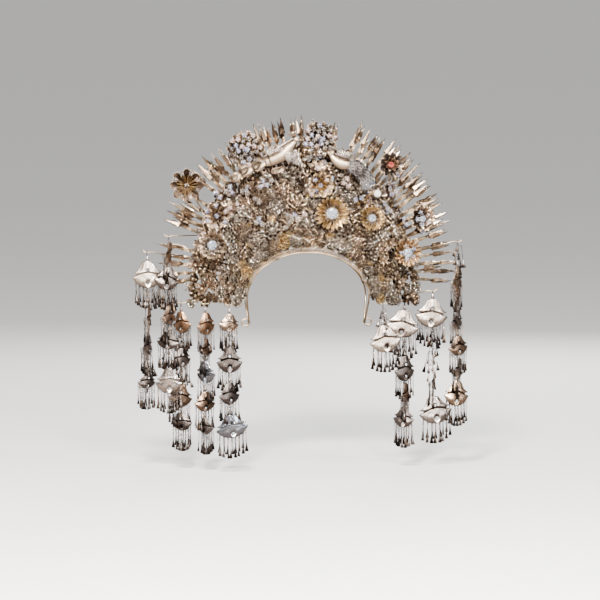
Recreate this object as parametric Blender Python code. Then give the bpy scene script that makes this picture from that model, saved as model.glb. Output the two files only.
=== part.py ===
# A bridal crown of gilt and silver filigree: head arch, fan of flower rows, rosettes,
# a pair of birds, bud sprays round the rim and side strings of bell plates.
# Metres, +Z up, -Y to the front. The origin is the underside of the head arch at its crown.
import math
import random

import bmesh
import bpy
from mathutils import Matrix, Vector

GAP = 0.0003
DEPTHWISE = Vector((0.0, 1.0, 0.0))
EDGE_TURN = Matrix.Rotation(0.13, 4, "Z")

# Head arch: half an ellipse on two legs, in two wires one behind the other
HEAD_HALF_WIDTH = 0.082
HEAD_RISE = 0.061
LEG_LENGTH = 0.034
LEG_LEAN = 0.004
ARCH_WIRE = 0.0012
ARCH_DEPTH = 0.038
ARCH_END_DEPTH = 0.003
ARCH_STEPS = 16
TIE_ANGLES = (20.0, 60.0, 120.0, 160.0)
TIE_WIRE = 0.0009
END_LOOP = 0.0047
END_LOOP_SIDES = 10
END_BAR = 0.0017

# Tiers: tier 0 is the arch, and each whole tier is wider, higher and further back
TIER_ACROSS = 0.0141
TIER_RISE = 0.028
TIER_FRONT = -0.030
TIER_BACK = 0.012
ROW_WIRE = 0.0010
ROW_STEPS = 30
SPOKE_WIRE = 0.0009
RIM_WIRE = 0.0014
SPOKE_COUNT = 16
RIM_TIER = 5.15
LACA_TIER = 0.6
ROW_SPACING = 0.85
FLOWER_TIERS = tuple(LACA_TIER + ROW_SPACING * row for row in range(1, 6))

# Florets of the rows
LACA_FLORETS = 17
ROW_FLORETS = (13, 14, 13, 14, 13)
FLORET_PETALS = 4
FLORET_ROOM = 0.47
FLORET_HEIGHT = 0.0030
FLORET_STAND = 0.0020
FLORET_PIN = 0.0009
FLORET_SEAT = 0.3
NOTCH = 0.66

# Buds: tips on a circle round the fan
TIP_CIRCLE = 0.203
TIP_CENTRE_HEIGHT = -0.018
BUD_LENGTH = 0.026
BUD_RADIUS = 0.0030
BUD_SEAT = 0.0030
BUD_REACH = (-0.006, 0.003)
BUD_SWAY = (-0.010, 0.012)
STEM_WIRE = 0.0006
SPRAY_WIRE = 0.0009

# Strings of bell plates
HOOK_WIRE = 0.0008
HOOK_HALF = 0.0034
RING_RADIUS = 0.0029
RING_WIRE = 0.0006
CHAIN_WIRE = 0.0007
BELL_THICKNESS = 0.0018
BELL_LAP = Vector((0.0, 0.0, 0.0014))
RING_SIDES = 10
DROP_RADIUS = 0.0017
DROP_SPAN = 0.78
DROP_BELT = 0.16
DROP_FLAT = 0.6
DROP_LAP = 0.0012
# A drop is this share of its bell's height, and this much more
DROP_SHARE = 0.55
DROP_MORE = 0.006
# A bell wider than this carries four drops, and a narrower one three
FOUR_DROPS = 0.033

GOLD = ((0.47, 0.36, 0.22), 0.36)
OCHRE = ((0.55, 0.36, 0.12), 0.34)
SILVER = ((0.50, 0.47, 0.43), 0.33)
DARK_SILVER = ((0.22, 0.20, 0.18), 0.42)
WIRE = ((0.30, 0.25, 0.18), 0.45)

for old in list(bpy.data.objects):
    bpy.data.objects.remove(old, do_unlink=True)

crown = bpy.data.collections.new("bridal_crown")
cutters = bpy.data.collections.new("cutters")
bpy.context.scene.collection.children.link(crown)
bpy.context.scene.collection.children.link(cutters)


def metal(name, look):
    """A metal of one colour and roughness."""
    made = bpy.data.materials.new(name)
    made.use_nodes = True
    shader = made.node_tree.nodes["Principled BSDF"]
    shader.inputs["Base Color"].default_value = (*look[0], 1.0)
    shader.inputs["Roughness"].default_value = look[1]
    shader.inputs["Metallic"].default_value = 1.0
    return made


def gem(name, colour):
    """A polished stone or pearl."""
    made = bpy.data.materials.new(name)
    made.use_nodes = True
    shader = made.node_tree.nodes["Principled BSDF"]
    shader.inputs["Base Color"].default_value = (*colour, 1.0)
    shader.inputs["Roughness"].default_value = 0.08
    shader.inputs["Metallic"].default_value = 0.0
    return made


def add_object(name, shape, look, origin=Vector(), collection=crown):
    """Links a bmesh as a named object with its material and its origin at a point."""
    mesh = bpy.data.meshes.new(name)
    bmesh.ops.recalc_face_normals(shape, faces=shape.faces)
    bmesh.ops.translate(shape, verts=shape.verts, vec=-origin)
    shape.to_mesh(mesh)
    shape.free()
    if look is not None:
        mesh.materials.append(look)
    made = bpy.data.objects.new(name, mesh)
    made.location = origin
    collection.objects.link(made)
    return made


def fuse(made, shape):
    """Joins the overlapping closed shapes of a bmesh to an object as one body."""
    extra = add_object(made.name + "_additions", shape, None, collection=cutters)
    extra.hide_render = True
    extra.display_type = "WIRE"
    joined = made.modifiers.new("soldered", "BOOLEAN")
    joined.operation = "UNION"
    joined.solver = "EXACT"
    joined.use_self = True
    joined.object = extra


def turned(centre, facing, up=Vector((0.0, 0.0, 1.0))):
    """The matrix that puts local +Z along facing, with local +Y as near to up as it goes."""
    z = facing.normalized()
    x = up.cross(z)
    if x.length < 1e-6:
        x = Vector((1.0, 0.0, 0.0)).cross(z)
    x.normalize()
    y = z.cross(x)
    matrix = Matrix((x, y, z)).transposed().to_4x4()
    matrix.translation = centre
    return matrix


def add_cone(shape, start, end, radius_start, radius_end, sides):
    """A closed cone or rod between two points, turned a little so that its edges cross no others."""
    along = end - start
    place = turned((start + end) / 2, along) @ EDGE_TURN
    verts = bmesh.ops.create_cone(
        shape,
        cap_ends=True,
        segments=sides,
        radius1=radius_start,
        radius2=radius_end,
        depth=along.length,
        matrix=place,
    )["verts"]
    bmesh.ops.remove_doubles(shape, verts=verts, dist=1e-6)


def add_spindle(shape, start, end, belt, radius, sides, flat, up=Vector((0.0, 0.0, 1.0))):
    """Two cones base to base, with the belt at a share of the length, flattened across."""
    along = end - start
    place = turned(start, along, up)
    verts = []
    for share, turn in ((belt, math.pi), (1.0 - belt, 0.0)):
        depth = share * along.length
        half = Matrix.Translation((0.0, 0.0, belt * along.length))
        half = half @ Matrix.Rotation(turn, 4, "X") @ Matrix.Translation((0.0, 0.0, depth / 2))
        verts += bmesh.ops.create_cone(
            shape, cap_ends=False, segments=sides, radius1=radius, radius2=0.0, depth=depth, matrix=half
        )["verts"]
    bmesh.ops.remove_doubles(shape, verts=verts, dist=1e-6)
    verts = [v for v in verts if v.is_valid]
    bmesh.ops.scale(shape, vec=(1.0, flat, 1.0), verts=verts)
    bmesh.ops.transform(shape, matrix=place, verts=verts)


def add_flower(shape, place, radius, petals, height):
    """A low pointed flower with a flat back and a notched edge."""
    verts = bmesh.ops.create_cone(
        shape, cap_ends=True, segments=2 * petals, radius1=radius, radius2=0.0, depth=height
    )["verts"]
    bmesh.ops.remove_doubles(shape, verts=verts, dist=1e-6)
    rim = [v for v in verts if v.is_valid and v.co.z < 0.0]
    notched = [v for v in rim if round(math.atan2(v.co.y, v.co.x) * petals / math.pi) % 2]
    bmesh.ops.scale(shape, vec=(NOTCH, NOTCH, 1.0), verts=notched)
    lifted = place @ Matrix.Translation((0.0, 0.0, height / 2))
    bmesh.ops.transform(shape, matrix=lifted, verts=[v for v in verts if v.is_valid])


def add_collet(shape, centre, facing, radius, height, wall):
    """A round cup that a stone sits in."""
    place = turned(centre + facing * (height / 2), facing) @ EDGE_TURN
    verts = bmesh.ops.create_cone(
        shape,
        cap_ends=True,
        segments=10,
        radius1=radius * 0.94,
        radius2=radius,
        depth=height,
        matrix=place,
    )["verts"]
    faces = {f for v in verts for f in v.link_faces}
    top = max(faces, key=lambda f: (f.normal.dot(facing), f.calc_area()))
    bmesh.ops.inset_region(shape, faces=[top], thickness=wall, depth=0.0)
    bmesh.ops.translate(shape, verts=top.verts, vec=facing * ((COLLET_FLOOR - 1.0) * height))


def tube(name, points, wire, resolution, radii=None, cyclic=False):
    """A mesh of a wire along a line of points, closed at its ends.

    At resolution 0 it is square, with a flat front."""
    line = bpy.data.curves.new(name, "CURVE")
    line.dimensions = "3D"
    line.bevel_depth = wire
    line.bevel_resolution = resolution
    line.use_fill_caps = not cyclic
    spline = line.splines.new("POLY")
    spline.points.add(len(points) - 1)
    spline.use_cyclic_u = cyclic
    for i, (spot, point) in enumerate(zip(spline.points, points)):
        spot.co = (*point, 1.0)
        spot.radius = radii[i] if radii else 1.0
        spot.tilt = 0.0 if resolution else math.radians(45.0)
    return curve_mesh(line)


def curve_mesh(line):
    """The curve made a closed mesh, its caps welded."""
    holder = bpy.data.objects.new(line.name, line)
    crown.objects.link(holder)
    graph = bpy.context.evaluated_depsgraph_get()
    mesh = bpy.data.meshes.new_from_object(holder.evaluated_get(graph))
    bpy.data.objects.remove(holder, do_unlink=True)
    bpy.data.curves.remove(line)
    shape = bmesh.new()
    shape.from_mesh(mesh)
    bpy.data.meshes.remove(mesh)
    bmesh.ops.remove_doubles(shape, verts=shape.verts, dist=1e-6)
    return shape


def add_shape(shape, other):
    """Adds one bmesh to another and frees it."""
    mesh = bpy.data.meshes.new("shape")
    other.to_mesh(mesh)
    other.free()
    shape.from_mesh(mesh)
    bpy.data.meshes.remove(mesh)


def tier_frame(tier, degrees):
    """A tier's point at an angle from +X, and its tangent, outward and front-facing directions."""
    turn = math.radians(degrees)
    across = HEAD_HALF_WIDTH + TIER_ACROSS * tier
    rise = HEAD_RISE + TIER_RISE * tier
    point = Vector(
        (across * math.cos(turn), TIER_FRONT + TIER_BACK * tier, -HEAD_RISE + rise * math.sin(turn))
    )
    tangent = Vector((-across * math.sin(turn), 0.0, rise * math.cos(turn))).normalized()
    outward = Vector((TIER_ACROSS * math.cos(turn), TIER_BACK, TIER_RISE * math.sin(turn))).normalized()
    facing = outward.cross(tangent).normalized()
    return point, tangent, outward, facing


def behind(tier, degrees, distance):
    """The point behind a tier by a distance, which is in front where it is negative."""
    point, _, _, facing = tier_frame(tier, degrees)
    return point - facing * distance


SPOKE_OFFSET = ROW_WIRE + SPOKE_WIRE + GAP


def arch_line(depth, end_depth):
    """The centre line of one arch wire, from the foot of one leg to the other."""
    across = HEAD_HALF_WIDTH + ARCH_WIRE
    rise = HEAD_RISE + ARCH_WIRE
    foot = -HEAD_RISE - LEG_LENGTH
    points = [
        Vector((across - LEG_LEAN, end_depth, foot)),
        Vector((across - LEG_LEAN * 0.4, end_depth * 0.5 + depth * 0.5, foot + LEG_LENGTH * 0.5)),
    ]
    for i in range(ARCH_STEPS + 1):
        turn = math.pi * i / ARCH_STEPS
        points.append(Vector((across * math.cos(turn), depth, -HEAD_RISE + rise * math.sin(turn))))
    for point in reversed(points[:2]):
        points.append(Vector((-point.x, point.y, point.z)))
    return points


def head_frame(look):
    """The two arch wires, soldered by cross ties and by the curled ends of the legs."""
    front = behind(0.0, 90.0, SPOKE_OFFSET).y
    rear = front + ARCH_DEPTH
    middle = (front + rear) / 2
    shape = tube("front_arch", arch_line(front, middle - ARCH_END_DEPTH), ARCH_WIRE, 1)
    made = add_object("head_frame", shape, look)
    extra = bmesh.new()
    add_shape(extra, tube("rear_arch", arch_line(rear, middle + ARCH_END_DEPTH), ARCH_WIRE, 1))
    for degrees in TIE_ANGLES:
        turn = math.radians(degrees)
        x = (HEAD_HALF_WIDTH + ARCH_WIRE) * math.cos(turn)
        z = -HEAD_RISE + (HEAD_RISE + ARCH_WIRE) * math.sin(turn)
        add_cone(extra, Vector((x, front, z)), Vector((x, rear, z)), TIE_WIRE, TIE_WIRE, 5)
    for side in (-1.0, 1.0):
        x = side * (HEAD_HALF_WIDTH + ARCH_WIRE - LEG_LEAN)
        foot = -HEAD_RISE - LEG_LENGTH
        ends = [Vector((x, middle + s * (ARCH_END_DEPTH + ARCH_WIRE), foot)) for s in (-1.0, 1.0)]
        add_cone(extra, ends[0], ends[1], END_BAR, END_BAR, 8)
        centre = Vector((x + side * END_LOOP, middle, foot))
        loop = []
        for i in range(END_LOOP_SIDES):
            turn = math.tau * i / END_LOOP_SIDES
            loop.append(centre + Vector((END_LOOP * math.cos(turn), 0.0, END_LOOP * math.sin(turn))))
        add_shape(extra, tube("end_loop", loop, ARCH_WIRE, 1, cyclic=True))
    fuse(made, extra)


# A string hangs from the fan at a tier and angle; x, y and z are where its ring hangs
STRINGS = (
    {"name": "pendant_left_1", "tier": RIM_TIER, "angle": 166.0, "x": -0.216, "y": 0.014, "z": 0.000},
    {"name": "pendant_left_2", "tier": RIM_TIER, "angle": 156.0, "x": -0.187, "y": 0.010, "z": 0.022},
    {"name": "pendant_left_3", "tier": 5.0, "angle": 180.0, "x": -0.169, "y": 0.026, "z": -0.070},
    {"name": "pendant_left_4", "tier": 3.6, "angle": 180.0, "x": -0.138, "y": 0.004, "z": -0.070},
    {"name": "pendant_left_5", "tier": 1.4, "angle": 180.0, "x": -0.107, "y": -0.022, "z": -0.070},
    {"name": "pendant_right_inner", "tier": 1.3, "angle": 0.0, "x": 0.103, "y": -0.022, "z": -0.070},
    {"name": "pendant_right_2", "tier": 3.8, "angle": 0.0, "x": 0.138, "y": 0.018, "z": -0.070},
    {"name": "pendant_right_3", "tier": 5.1, "angle": 0.0, "x": 0.178, "y": 0.026, "z": -0.056},
    {"name": "pendant_right_4", "tier": RIM_TIER, "angle": 16.0, "x": 0.211, "y": 0.018, "z": 0.012},
)

# A bell's top is this far below its string's ring; yaw turns it about the string
BELLS = (
    {"string": "pendant_left_1", "down": 0.012, "width": 0.040, "height": 0.036, "yaw": 0.0},
    {"string": "pendant_left_1", "down": 0.112, "width": 0.034, "height": 0.028, "yaw": 65.0},
    {"string": "pendant_left_1", "down": 0.164, "width": 0.030, "height": 0.022, "yaw": 35.0},
    {"string": "pendant_left_2", "down": 0.042, "width": 0.034, "height": 0.031, "yaw": 10.0},
    {"string": "pendant_left_2", "down": 0.130, "width": 0.031, "height": 0.024, "yaw": -20.0},
    {"string": "pendant_left_2", "down": 0.180, "width": 0.036, "height": 0.034, "yaw": 0.0},
    {"string": "pendant_left_3", "down": 0.012, "width": 0.030, "height": 0.029, "yaw": -40.0},
    {"string": "pendant_left_3", "down": 0.062, "width": 0.028, "height": 0.026, "yaw": 25.0},
    {"string": "pendant_left_3", "down": 0.112, "width": 0.033, "height": 0.031, "yaw": 5.0},
    {"string": "pendant_left_4", "down": 0.012, "width": 0.030, "height": 0.030, "yaw": 35.0},
    {"string": "pendant_left_4", "down": 0.078, "width": 0.032, "height": 0.030, "yaw": -45.0},
    {"string": "pendant_left_5", "down": 0.012, "width": 0.028, "height": 0.024, "yaw": 15.0},
    {"string": "pendant_left_5", "down": 0.058, "width": 0.034, "height": 0.034, "yaw": 0.0},
    {"string": "pendant_left_5", "down": 0.150, "width": 0.043, "height": 0.031, "yaw": 0.0},
    {"string": "pendant_right_inner", "down": 0.030, "width": 0.042, "height": 0.036, "yaw": 0.0},
    {"string": "pendant_right_2", "down": 0.012, "width": 0.046, "height": 0.037, "yaw": 0.0},
    {"string": "pendant_right_2", "down": 0.075, "width": 0.031, "height": 0.034, "yaw": 25.0},
    {"string": "pendant_right_2", "down": 0.145, "width": 0.028, "height": 0.028, "yaw": -15.0},
    {"string": "pendant_right_3", "down": 0.012, "width": 0.043, "height": 0.038, "yaw": 0.0},
    {"string": "pendant_right_3", "down": 0.146, "width": 0.044, "height": 0.037, "yaw": 0.0},
    {"string": "pendant_right_4", "down": 0.034, "width": 0.034, "height": 0.036, "yaw": 60.0},
    {"string": "pendant_right_4", "down": 0.096, "width": 0.028, "height": 0.024, "yaw": 50.0},
    {"string": "pendant_right_4", "down": 0.192, "width": 0.034, "height": 0.034, "yaw": 10.0},
)


def hook_line(row):
    """A hook from its root on the fan to the short level bar that a ring hangs on."""
    root = behind(row["tier"], row["angle"], SPOKE_OFFSET)
    hang = Vector((row["x"], row["y"], row["z"]))
    side = math.copysign(1.0, row["x"])
    return [
        root,
        hang + Vector((-side * HOOK_HALF, 0.0, 0.0)),
        hang + Vector((side * HOOK_HALF, 0.0, 0.0)),
        hang + Vector((side * 1.5 * HOOK_HALF, 0.0, HOOK_HALF)),
    ]


def fan_frame(look):
    """Spokes behind the rows, the rim hoop they end at, and the hooks of the strings."""
    hoop = [behind(RIM_TIER, 180.0 * i / ROW_STEPS, SPOKE_OFFSET) for i in range(ROW_STEPS + 1)]
    made = add_object("fan_frame", tube("rim_hoop", hoop, RIM_WIRE, 0), look)
    extra = bmesh.new()
    for i in range(SPOKE_COUNT):
        degrees = 180.0 * i / (SPOKE_COUNT - 1)
        turn = math.radians(degrees)
        lean = tier_frame(0.0, degrees)[2].y
        clear = 2.0 * ARCH_WIRE + GAP + (SPOKE_WIRE + SPOKE_OFFSET) * lean
        foot_tier = clear / math.hypot(TIER_ACROSS * math.cos(turn), TIER_RISE * math.sin(turn))
        foot = behind(foot_tier, degrees, SPOKE_OFFSET)
        tip = behind(RIM_TIER, degrees, SPOKE_OFFSET)
        add_cone(extra, foot, tip, SPOKE_WIRE, SPOKE_WIRE, 4)
    for row in STRINGS:
        add_shape(extra, tube("hook", hook_line(row), HOOK_WIRE, 1))
    fuse(made, extra)


# Rosettes stand on a pin in front of a flower row; x and z are the flower's centre
ROSETTES = (
    {"name": "rosette_crown_left", "row": 5, "angle": 118.0, "x": -0.083, "z": 0.139,
     "ahead": 0.022, "radius": 0.024, "petals": 8, "stone": None},
    {"name": "rosette_crown_top", "row": 5, "angle": 84.0, "x": 0.019, "z": 0.153,
     "ahead": 0.022, "radius": 0.023, "petals": 8, "stone": None},
    {"name": "rosette_daisy", "row": 5, "angle": 149.0, "x": -0.162, "z": 0.091,
     "ahead": 0.020, "radius": 0.023, "petals": 8, "stone": None},
    {"name": "rosette_left_upper", "row": 4, "angle": 146.0, "x": -0.122, "z": 0.050,
     "ahead": 0.018, "radius": 0.019, "petals": 7, "stone": None},
    {"name": "rosette_left_lower", "row": 4, "angle": 158.0, "x": -0.128, "z": 0.010,
     "ahead": 0.018, "radius": 0.020, "petals": 10, "stone": "stone_left"},
    {"name": "rosette_centre", "row": 2, "angle": 72.0, "x": 0.033, "z": 0.053,
     "ahead": 0.016, "radius": 0.023, "petals": 12, "stone": "stone_centre"},
    {"name": "rosette_gold", "row": 3, "angle": 82.0, "x": 0.019, "z": 0.091,
     "ahead": 0.016, "radius": 0.017, "petals": 8, "stone": None},
    {"name": "rosette_right_inner", "row": 3, "angle": 47.0, "x": 0.089, "z": 0.046,
     "ahead": 0.016, "radius": 0.016, "petals": 10, "stone": "stone_right_inner"},
    {"name": "rosette_pearl", "row": 4, "angle": 52.0, "x": 0.096, "z": 0.079,
     "ahead": 0.020, "radius": 0.014, "petals": 6, "stone": "pearl"},
    {"name": "rosette_right_upper", "row": 5, "angle": 50.0, "x": 0.117, "z": 0.118,
     "ahead": 0.018, "radius": 0.018, "petals": 8, "stone": "red_stone"},
    {"name": "rosette_right_rim", "row": 5, "angle": 26.0, "x": 0.160, "z": 0.044,
     "ahead": 0.022, "radius": 0.018, "petals": 8, "stone": "stone_right_rim"},
    {"name": "rosette_right_lower", "row": 4, "angle": 20.0, "x": 0.139, "z": -0.002,
     "ahead": 0.018, "radius": 0.019, "petals": 9, "stone": "stone_right_lower"},
)

# Each stone's girdle radius and colour
STONES = {
    "stone_left": (0.0068, (0.86, 0.90, 0.95)),
    "stone_centre": (0.0085, (0.92, 0.92, 0.90)),
    "stone_right_inner": (0.0056, (0.92, 0.92, 0.90)),
    "stone_right_rim": (0.0050, (0.92, 0.92, 0.90)),
    "stone_right_lower": (0.0066, (0.90, 0.91, 0.93)),
    "red_stone": (0.0046, (0.52, 0.16, 0.12)),
    "pearl": (0.0052, (0.90, 0.87, 0.80)),
}
ROSETTE_LEAN = 0.35
PETAL_HEIGHT = 0.0022
PIN_RADIUS = 0.0013
SINK = 0.0004
BOSS = {"foot": 0.0075, "top": 0.0042, "height": 0.0058}
COLLET_HEIGHT = 0.0052
COLLET_FLOOR = 0.5
COLLET_WALL = 0.0009
# Shares of the girdle's radius
CUT = {"foot": 0.74, "pavilion": 0.35, "crown": 0.42, "table": 0.58}


def rosette_place(row):
    """Where a rosette's flower is centred, and which way it faces."""
    seat, _, _, facing = tier_frame(FLOWER_TIERS[row["row"] - 1], row["angle"])
    centre = Vector((row["x"], seat.y - row["ahead"], row["z"]))
    look = (facing * ROSETTE_LEAN + Vector((0.0, -1.0, 0.0))).normalized()
    return seat + facing * (ROW_WIRE + GAP), centre, look


def add_rosette(row, look):
    """A large flower on a pin that ends at its row's wire, with a cup for a stone or a raised boss."""
    seat, centre, facing = rosette_place(row)
    shape = bmesh.new()
    add_flower(shape, turned(centre, facing), row["radius"], row["petals"], PETAL_HEIGHT)
    made = add_object(row["name"], shape, look, centre)
    extra = bmesh.new()
    add_cone(extra, seat, centre + facing * SINK / 2, 0.0, PIN_RADIUS, 5)
    base = centre + facing * SINK
    if row["stone"]:
        radius = STONES[row["stone"]][0] + GAP + COLLET_WALL
        add_collet(extra, base, facing, radius, COLLET_HEIGHT, COLLET_WALL)
    else:
        add_cone(extra, base, base + facing * BOSS["height"], BOSS["foot"], BOSS["top"], 8)
    fuse(made, extra)


def add_stone(row):
    """A cut stone with a table and eight crown facets, or a pearl, in its rosette's cup."""
    name = row["stone"]
    girdle, colour = STONES[name]
    _, centre, facing = rosette_place(row)
    floor = centre + facing * (SINK + COLLET_HEIGHT * COLLET_FLOOR + GAP)
    shape = bmesh.new()
    if name == "pearl":
        bmesh.ops.create_uvsphere(
            shape, u_segments=10, v_segments=6, radius=girdle,
            matrix=turned(floor + facing * girdle, facing),
        )
    else:
        waist = floor + facing * (girdle * CUT["pavilion"])
        table = waist + facing * (girdle * CUT["crown"])
        add_cone(shape, floor, waist, girdle * CUT["foot"], girdle, 8)
        add_cone(shape, waist, table, girdle, girdle * CUT["table"], 8)
        bmesh.ops.remove_doubles(shape, verts=shape.verts, dist=1e-6)
        inner = [f for f in shape.faces if abs((f.calc_center_median() - waist).dot(facing)) < 1e-5]
        bmesh.ops.delete(shape, geom=inner, context="FACES")
    add_object(name, shape, gem(name + "_gem", colour), floor)


def tier_step(degrees):
    """How far apart two whole tiers are at an angle."""
    turn = math.radians(degrees)
    return math.hypot(TIER_ACROSS * math.cos(turn), TIER_BACK, TIER_RISE * math.sin(turn))


def tier_arc(tier, degrees):
    """How far a tier runs for each radian at an angle."""
    turn = math.radians(degrees)
    across = HEAD_HALF_WIDTH + TIER_ACROSS * tier
    rise = HEAD_RISE + TIER_RISE * tier
    return math.hypot(across * math.sin(turn), rise * math.cos(turn))


def add_row(name, tier, count, first, look):
    """A row of florets on an arched wire, left open where a rosette's pin stands.

    The first floret is first spacings from the end of the wire."""
    line = [tier_frame(tier, 180.0 * i / ROW_STEPS)[0] for i in range(ROW_STEPS + 1)]
    made = add_object(name, tube(name + "_wire", line, ROW_WIRE, 0), look)
    pins = [row["angle"] for row in ROSETTES if FLOWER_TIERS[row["row"] - 1] == tier]
    extra = bmesh.new()
    for i in range(count):
        degrees = 180.0 * (i + first) / (count - 1 + 2 * first)
        point, tangent, _, facing = tier_frame(tier, degrees)
        along = math.radians(1.0) * tier_arc(tier, degrees)
        turn_step = 180.0 / (count - 1 + 2 * first)
        size = FLORET_ROOM * min(along * turn_step, ROW_SPACING * tier_step(degrees))
        if any(abs(degrees - pin) * along < size * 0.5 for pin in pins):
            continue
        back = point + facing * FLORET_STAND
        add_cone(extra, point, back + facing * FLORET_HEIGHT * FLORET_SEAT, FLORET_PIN, FLORET_PIN, 3)
        add_flower(extra, turned(back, facing, tangent), size, FLORET_PETALS, FLORET_HEIGHT)
    fuse(made, extra)


# Bud sprays round the rim: each covers an arc of the circle of tips
SPRAYS = (
    {"name": "spray_right_low", "from": -7.0, "to": 8.0, "buds": 5},
    {"name": "spray_right_middle", "from": 12.0, "to": 27.0, "buds": 5},
    {"name": "spray_right_upper", "from": 31.0, "to": 46.0, "buds": 6},
    {"name": "spray_top_right", "from": 50.0, "to": 67.0, "buds": 6},
    {"name": "spray_top_centre", "from": 77.0, "to": 95.0, "buds": 5},
    {"name": "spray_top_left", "from": 99.0, "to": 117.0, "buds": 6},
    {"name": "spray_left_upper", "from": 123.0, "to": 140.0, "buds": 6},
    {"name": "spray_left_middle", "from": 148.0, "to": 162.0, "buds": 5},
    {"name": "spray_left_low", "from": 172.0, "to": 187.0, "buds": 5},
)


def rim_angle(circle_degrees):
    """The rim hoop's angle that a bud of the tip circle grows from."""
    turn = math.radians(circle_degrees)
    across = HEAD_HALF_WIDTH + TIER_ACROSS * RIM_TIER
    rise = HEAD_RISE + TIER_RISE * RIM_TIER
    reach = 0.8 * TIP_CIRCLE
    x = reach * math.cos(turn)
    z = TIP_CENTRE_HEIGHT + reach * math.sin(turn)
    return math.degrees(math.atan2((z + HEAD_RISE) / rise, x / across))


def add_spray(row, look):
    """A strip behind the rim hoop, with buds on wires that fan out from it."""
    chance = random.Random(row["name"])
    offset = SPOKE_OFFSET + RIM_WIRE + SPRAY_WIRE + GAP
    first, last = rim_angle(row["from"]), rim_angle(row["to"])
    strip = [behind(RIM_TIER, first + (last - first) * share, offset) for share in (-0.1, 0.2, 0.5, 0.8, 1.1)]
    made = add_object(row["name"], tube(row["name"] + "_strip", strip, SPRAY_WIRE, 0), look)
    extra = bmesh.new()
    for i in range(row["buds"]):
        share = i / (row["buds"] - 1)
        circle = row["from"] + (row["to"] - row["from"]) * share
        root = behind(RIM_TIER, first + (last - first) * share, offset)
        turn = math.radians(circle)
        reach = TIP_CIRCLE + chance.uniform(*BUD_REACH)
        tip = Vector(
            (reach * math.cos(turn), root.y + chance.uniform(*BUD_SWAY),
             TIP_CENTRE_HEIGHT + reach * math.sin(turn))
        )
        along = (tip - root).normalized()
        collar = tip - along * BUD_LENGTH
        add_cone(extra, root, collar + along * BUD_SEAT, STEM_WIRE, STEM_WIRE, 3)
        add_cone(extra, collar, tip, BUD_RADIUS, 0.0, 4)
    fuse(made, extra)


# The body of a bird as a tapering sheet relief: centre line and half width, in x and z
BIRD_LEFT = (
    {"x": -0.008, "z": 0.153, "half": 0.0010},
    {"x": -0.016, "z": 0.152, "half": 0.0046},
    {"x": -0.024, "z": 0.143, "half": 0.0062},
    {"x": -0.035, "z": 0.132, "half": 0.0085},
    {"x": -0.048, "z": 0.124, "half": 0.0074},
    {"x": -0.063, "z": 0.116, "half": 0.0050},
    {"x": -0.080, "z": 0.106, "half": 0.0012},
)
BIRD_RIGHT = (
    {"x": 0.034, "z": 0.137, "half": 0.0010},
    {"x": 0.041, "z": 0.130, "half": 0.0048},
    {"x": 0.050, "z": 0.122, "half": 0.0080},
    {"x": 0.062, "z": 0.119, "half": 0.0088},
    {"x": 0.073, "z": 0.109, "half": 0.0070},
    {"x": 0.083, "z": 0.096, "half": 0.0052},
    {"x": 0.090, "z": 0.078, "half": 0.0012},
)
BIRD_THIN = 0.45
BIRD_ROOT = Vector((0.0, -0.003, 0.0))
FEATHER = {"shorter": 0.006, "ahead": 0.001, "belt": 0.55, "half": 0.0052, "flat": 0.4}


def add_bird(name, body, wing, feather_lean, seat_angles, look):
    """A relief bird: body, raised wing and tail plumes, on two pins that end at row 5's wire."""
    line = [Vector((p["x"], 0.0, p["z"])) for p in body]
    shape = tube(name + "_body", line, 1.0, 2, radii=[p["half"] for p in body])
    bmesh.ops.scale(shape, vec=(1.0, BIRD_THIN, 1.0), verts=shape.verts)
    made = add_object(name, shape, look)
    extra = bmesh.new()
    root = line[3] + BIRD_ROOT
    side = math.copysign(1.0, wing[0])
    for i, lean in enumerate(feather_lean):
        reach = wing[0] - FEATHER["shorter"] * i * side
        tip = root + Vector((reach, -FEATHER["ahead"] * i, wing[1] + lean))
        add_spindle(extra, root, tip, FEATHER["belt"], FEATHER["half"], 6, FEATHER["flat"], DEPTHWISE)
    for start, degrees in zip((line[2], line[4]), seat_angles):
        seat, _, _, facing = tier_frame(FLOWER_TIERS[-1], degrees)
        add_cone(extra, seat + facing * (ROW_WIRE + GAP), start, 0.0, PIN_RADIUS, 6)
    fuse(made, extra)


# Half of a bell plate's edge, from the middle of its top down to the middle of its foot,
# as shares of half its width and of its height
BELL_EDGE = ((0.30, 1.00), (0.42, 0.66), (0.94, 0.58), (0.82, 0.42), (1.00, 0.34), (0.55, 0.0))
BELL_HOLES = (0.66, 0.24)
BELL_HOLE_RADIUS = 0.10


def bell_template():
    """A plate of unit half width and height, foot at z 0, cut through by its two round holes."""
    outline = bpy.data.curves.new("bell_outline", "CURVE")
    outline.dimensions = "2D"
    outline.fill_mode = "BOTH"
    outline.extrude = 0.5
    edge = [(x, z) for x, z in BELL_EDGE] + [(-x, z) for x, z in reversed(BELL_EDGE)]
    rings = [edge]
    for height in BELL_HOLES:
        ring = []
        for i in range(5):
            turn = math.tau * (i + 0.25) / 5
            ring.append((1.4 * BELL_HOLE_RADIUS * math.cos(turn), height + BELL_HOLE_RADIUS * math.sin(turn)))
        rings.append(ring)
    for ring in rings:
        spline = outline.splines.new("POLY")
        spline.points.add(len(ring) - 1)
        spline.use_cyclic_u = True
        for spot, (x, z) in zip(spline.points, ring):
            spot.co = (x, z, 0.0, 1.0)
    shape = curve_mesh(outline)
    bmesh.ops.rotate(shape, matrix=Matrix.Rotation(math.radians(90.0), 3, "X"), verts=shape.verts)
    mesh = bpy.data.meshes.new("bell_plate")
    shape.to_mesh(mesh)
    shape.free()
    return mesh


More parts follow.
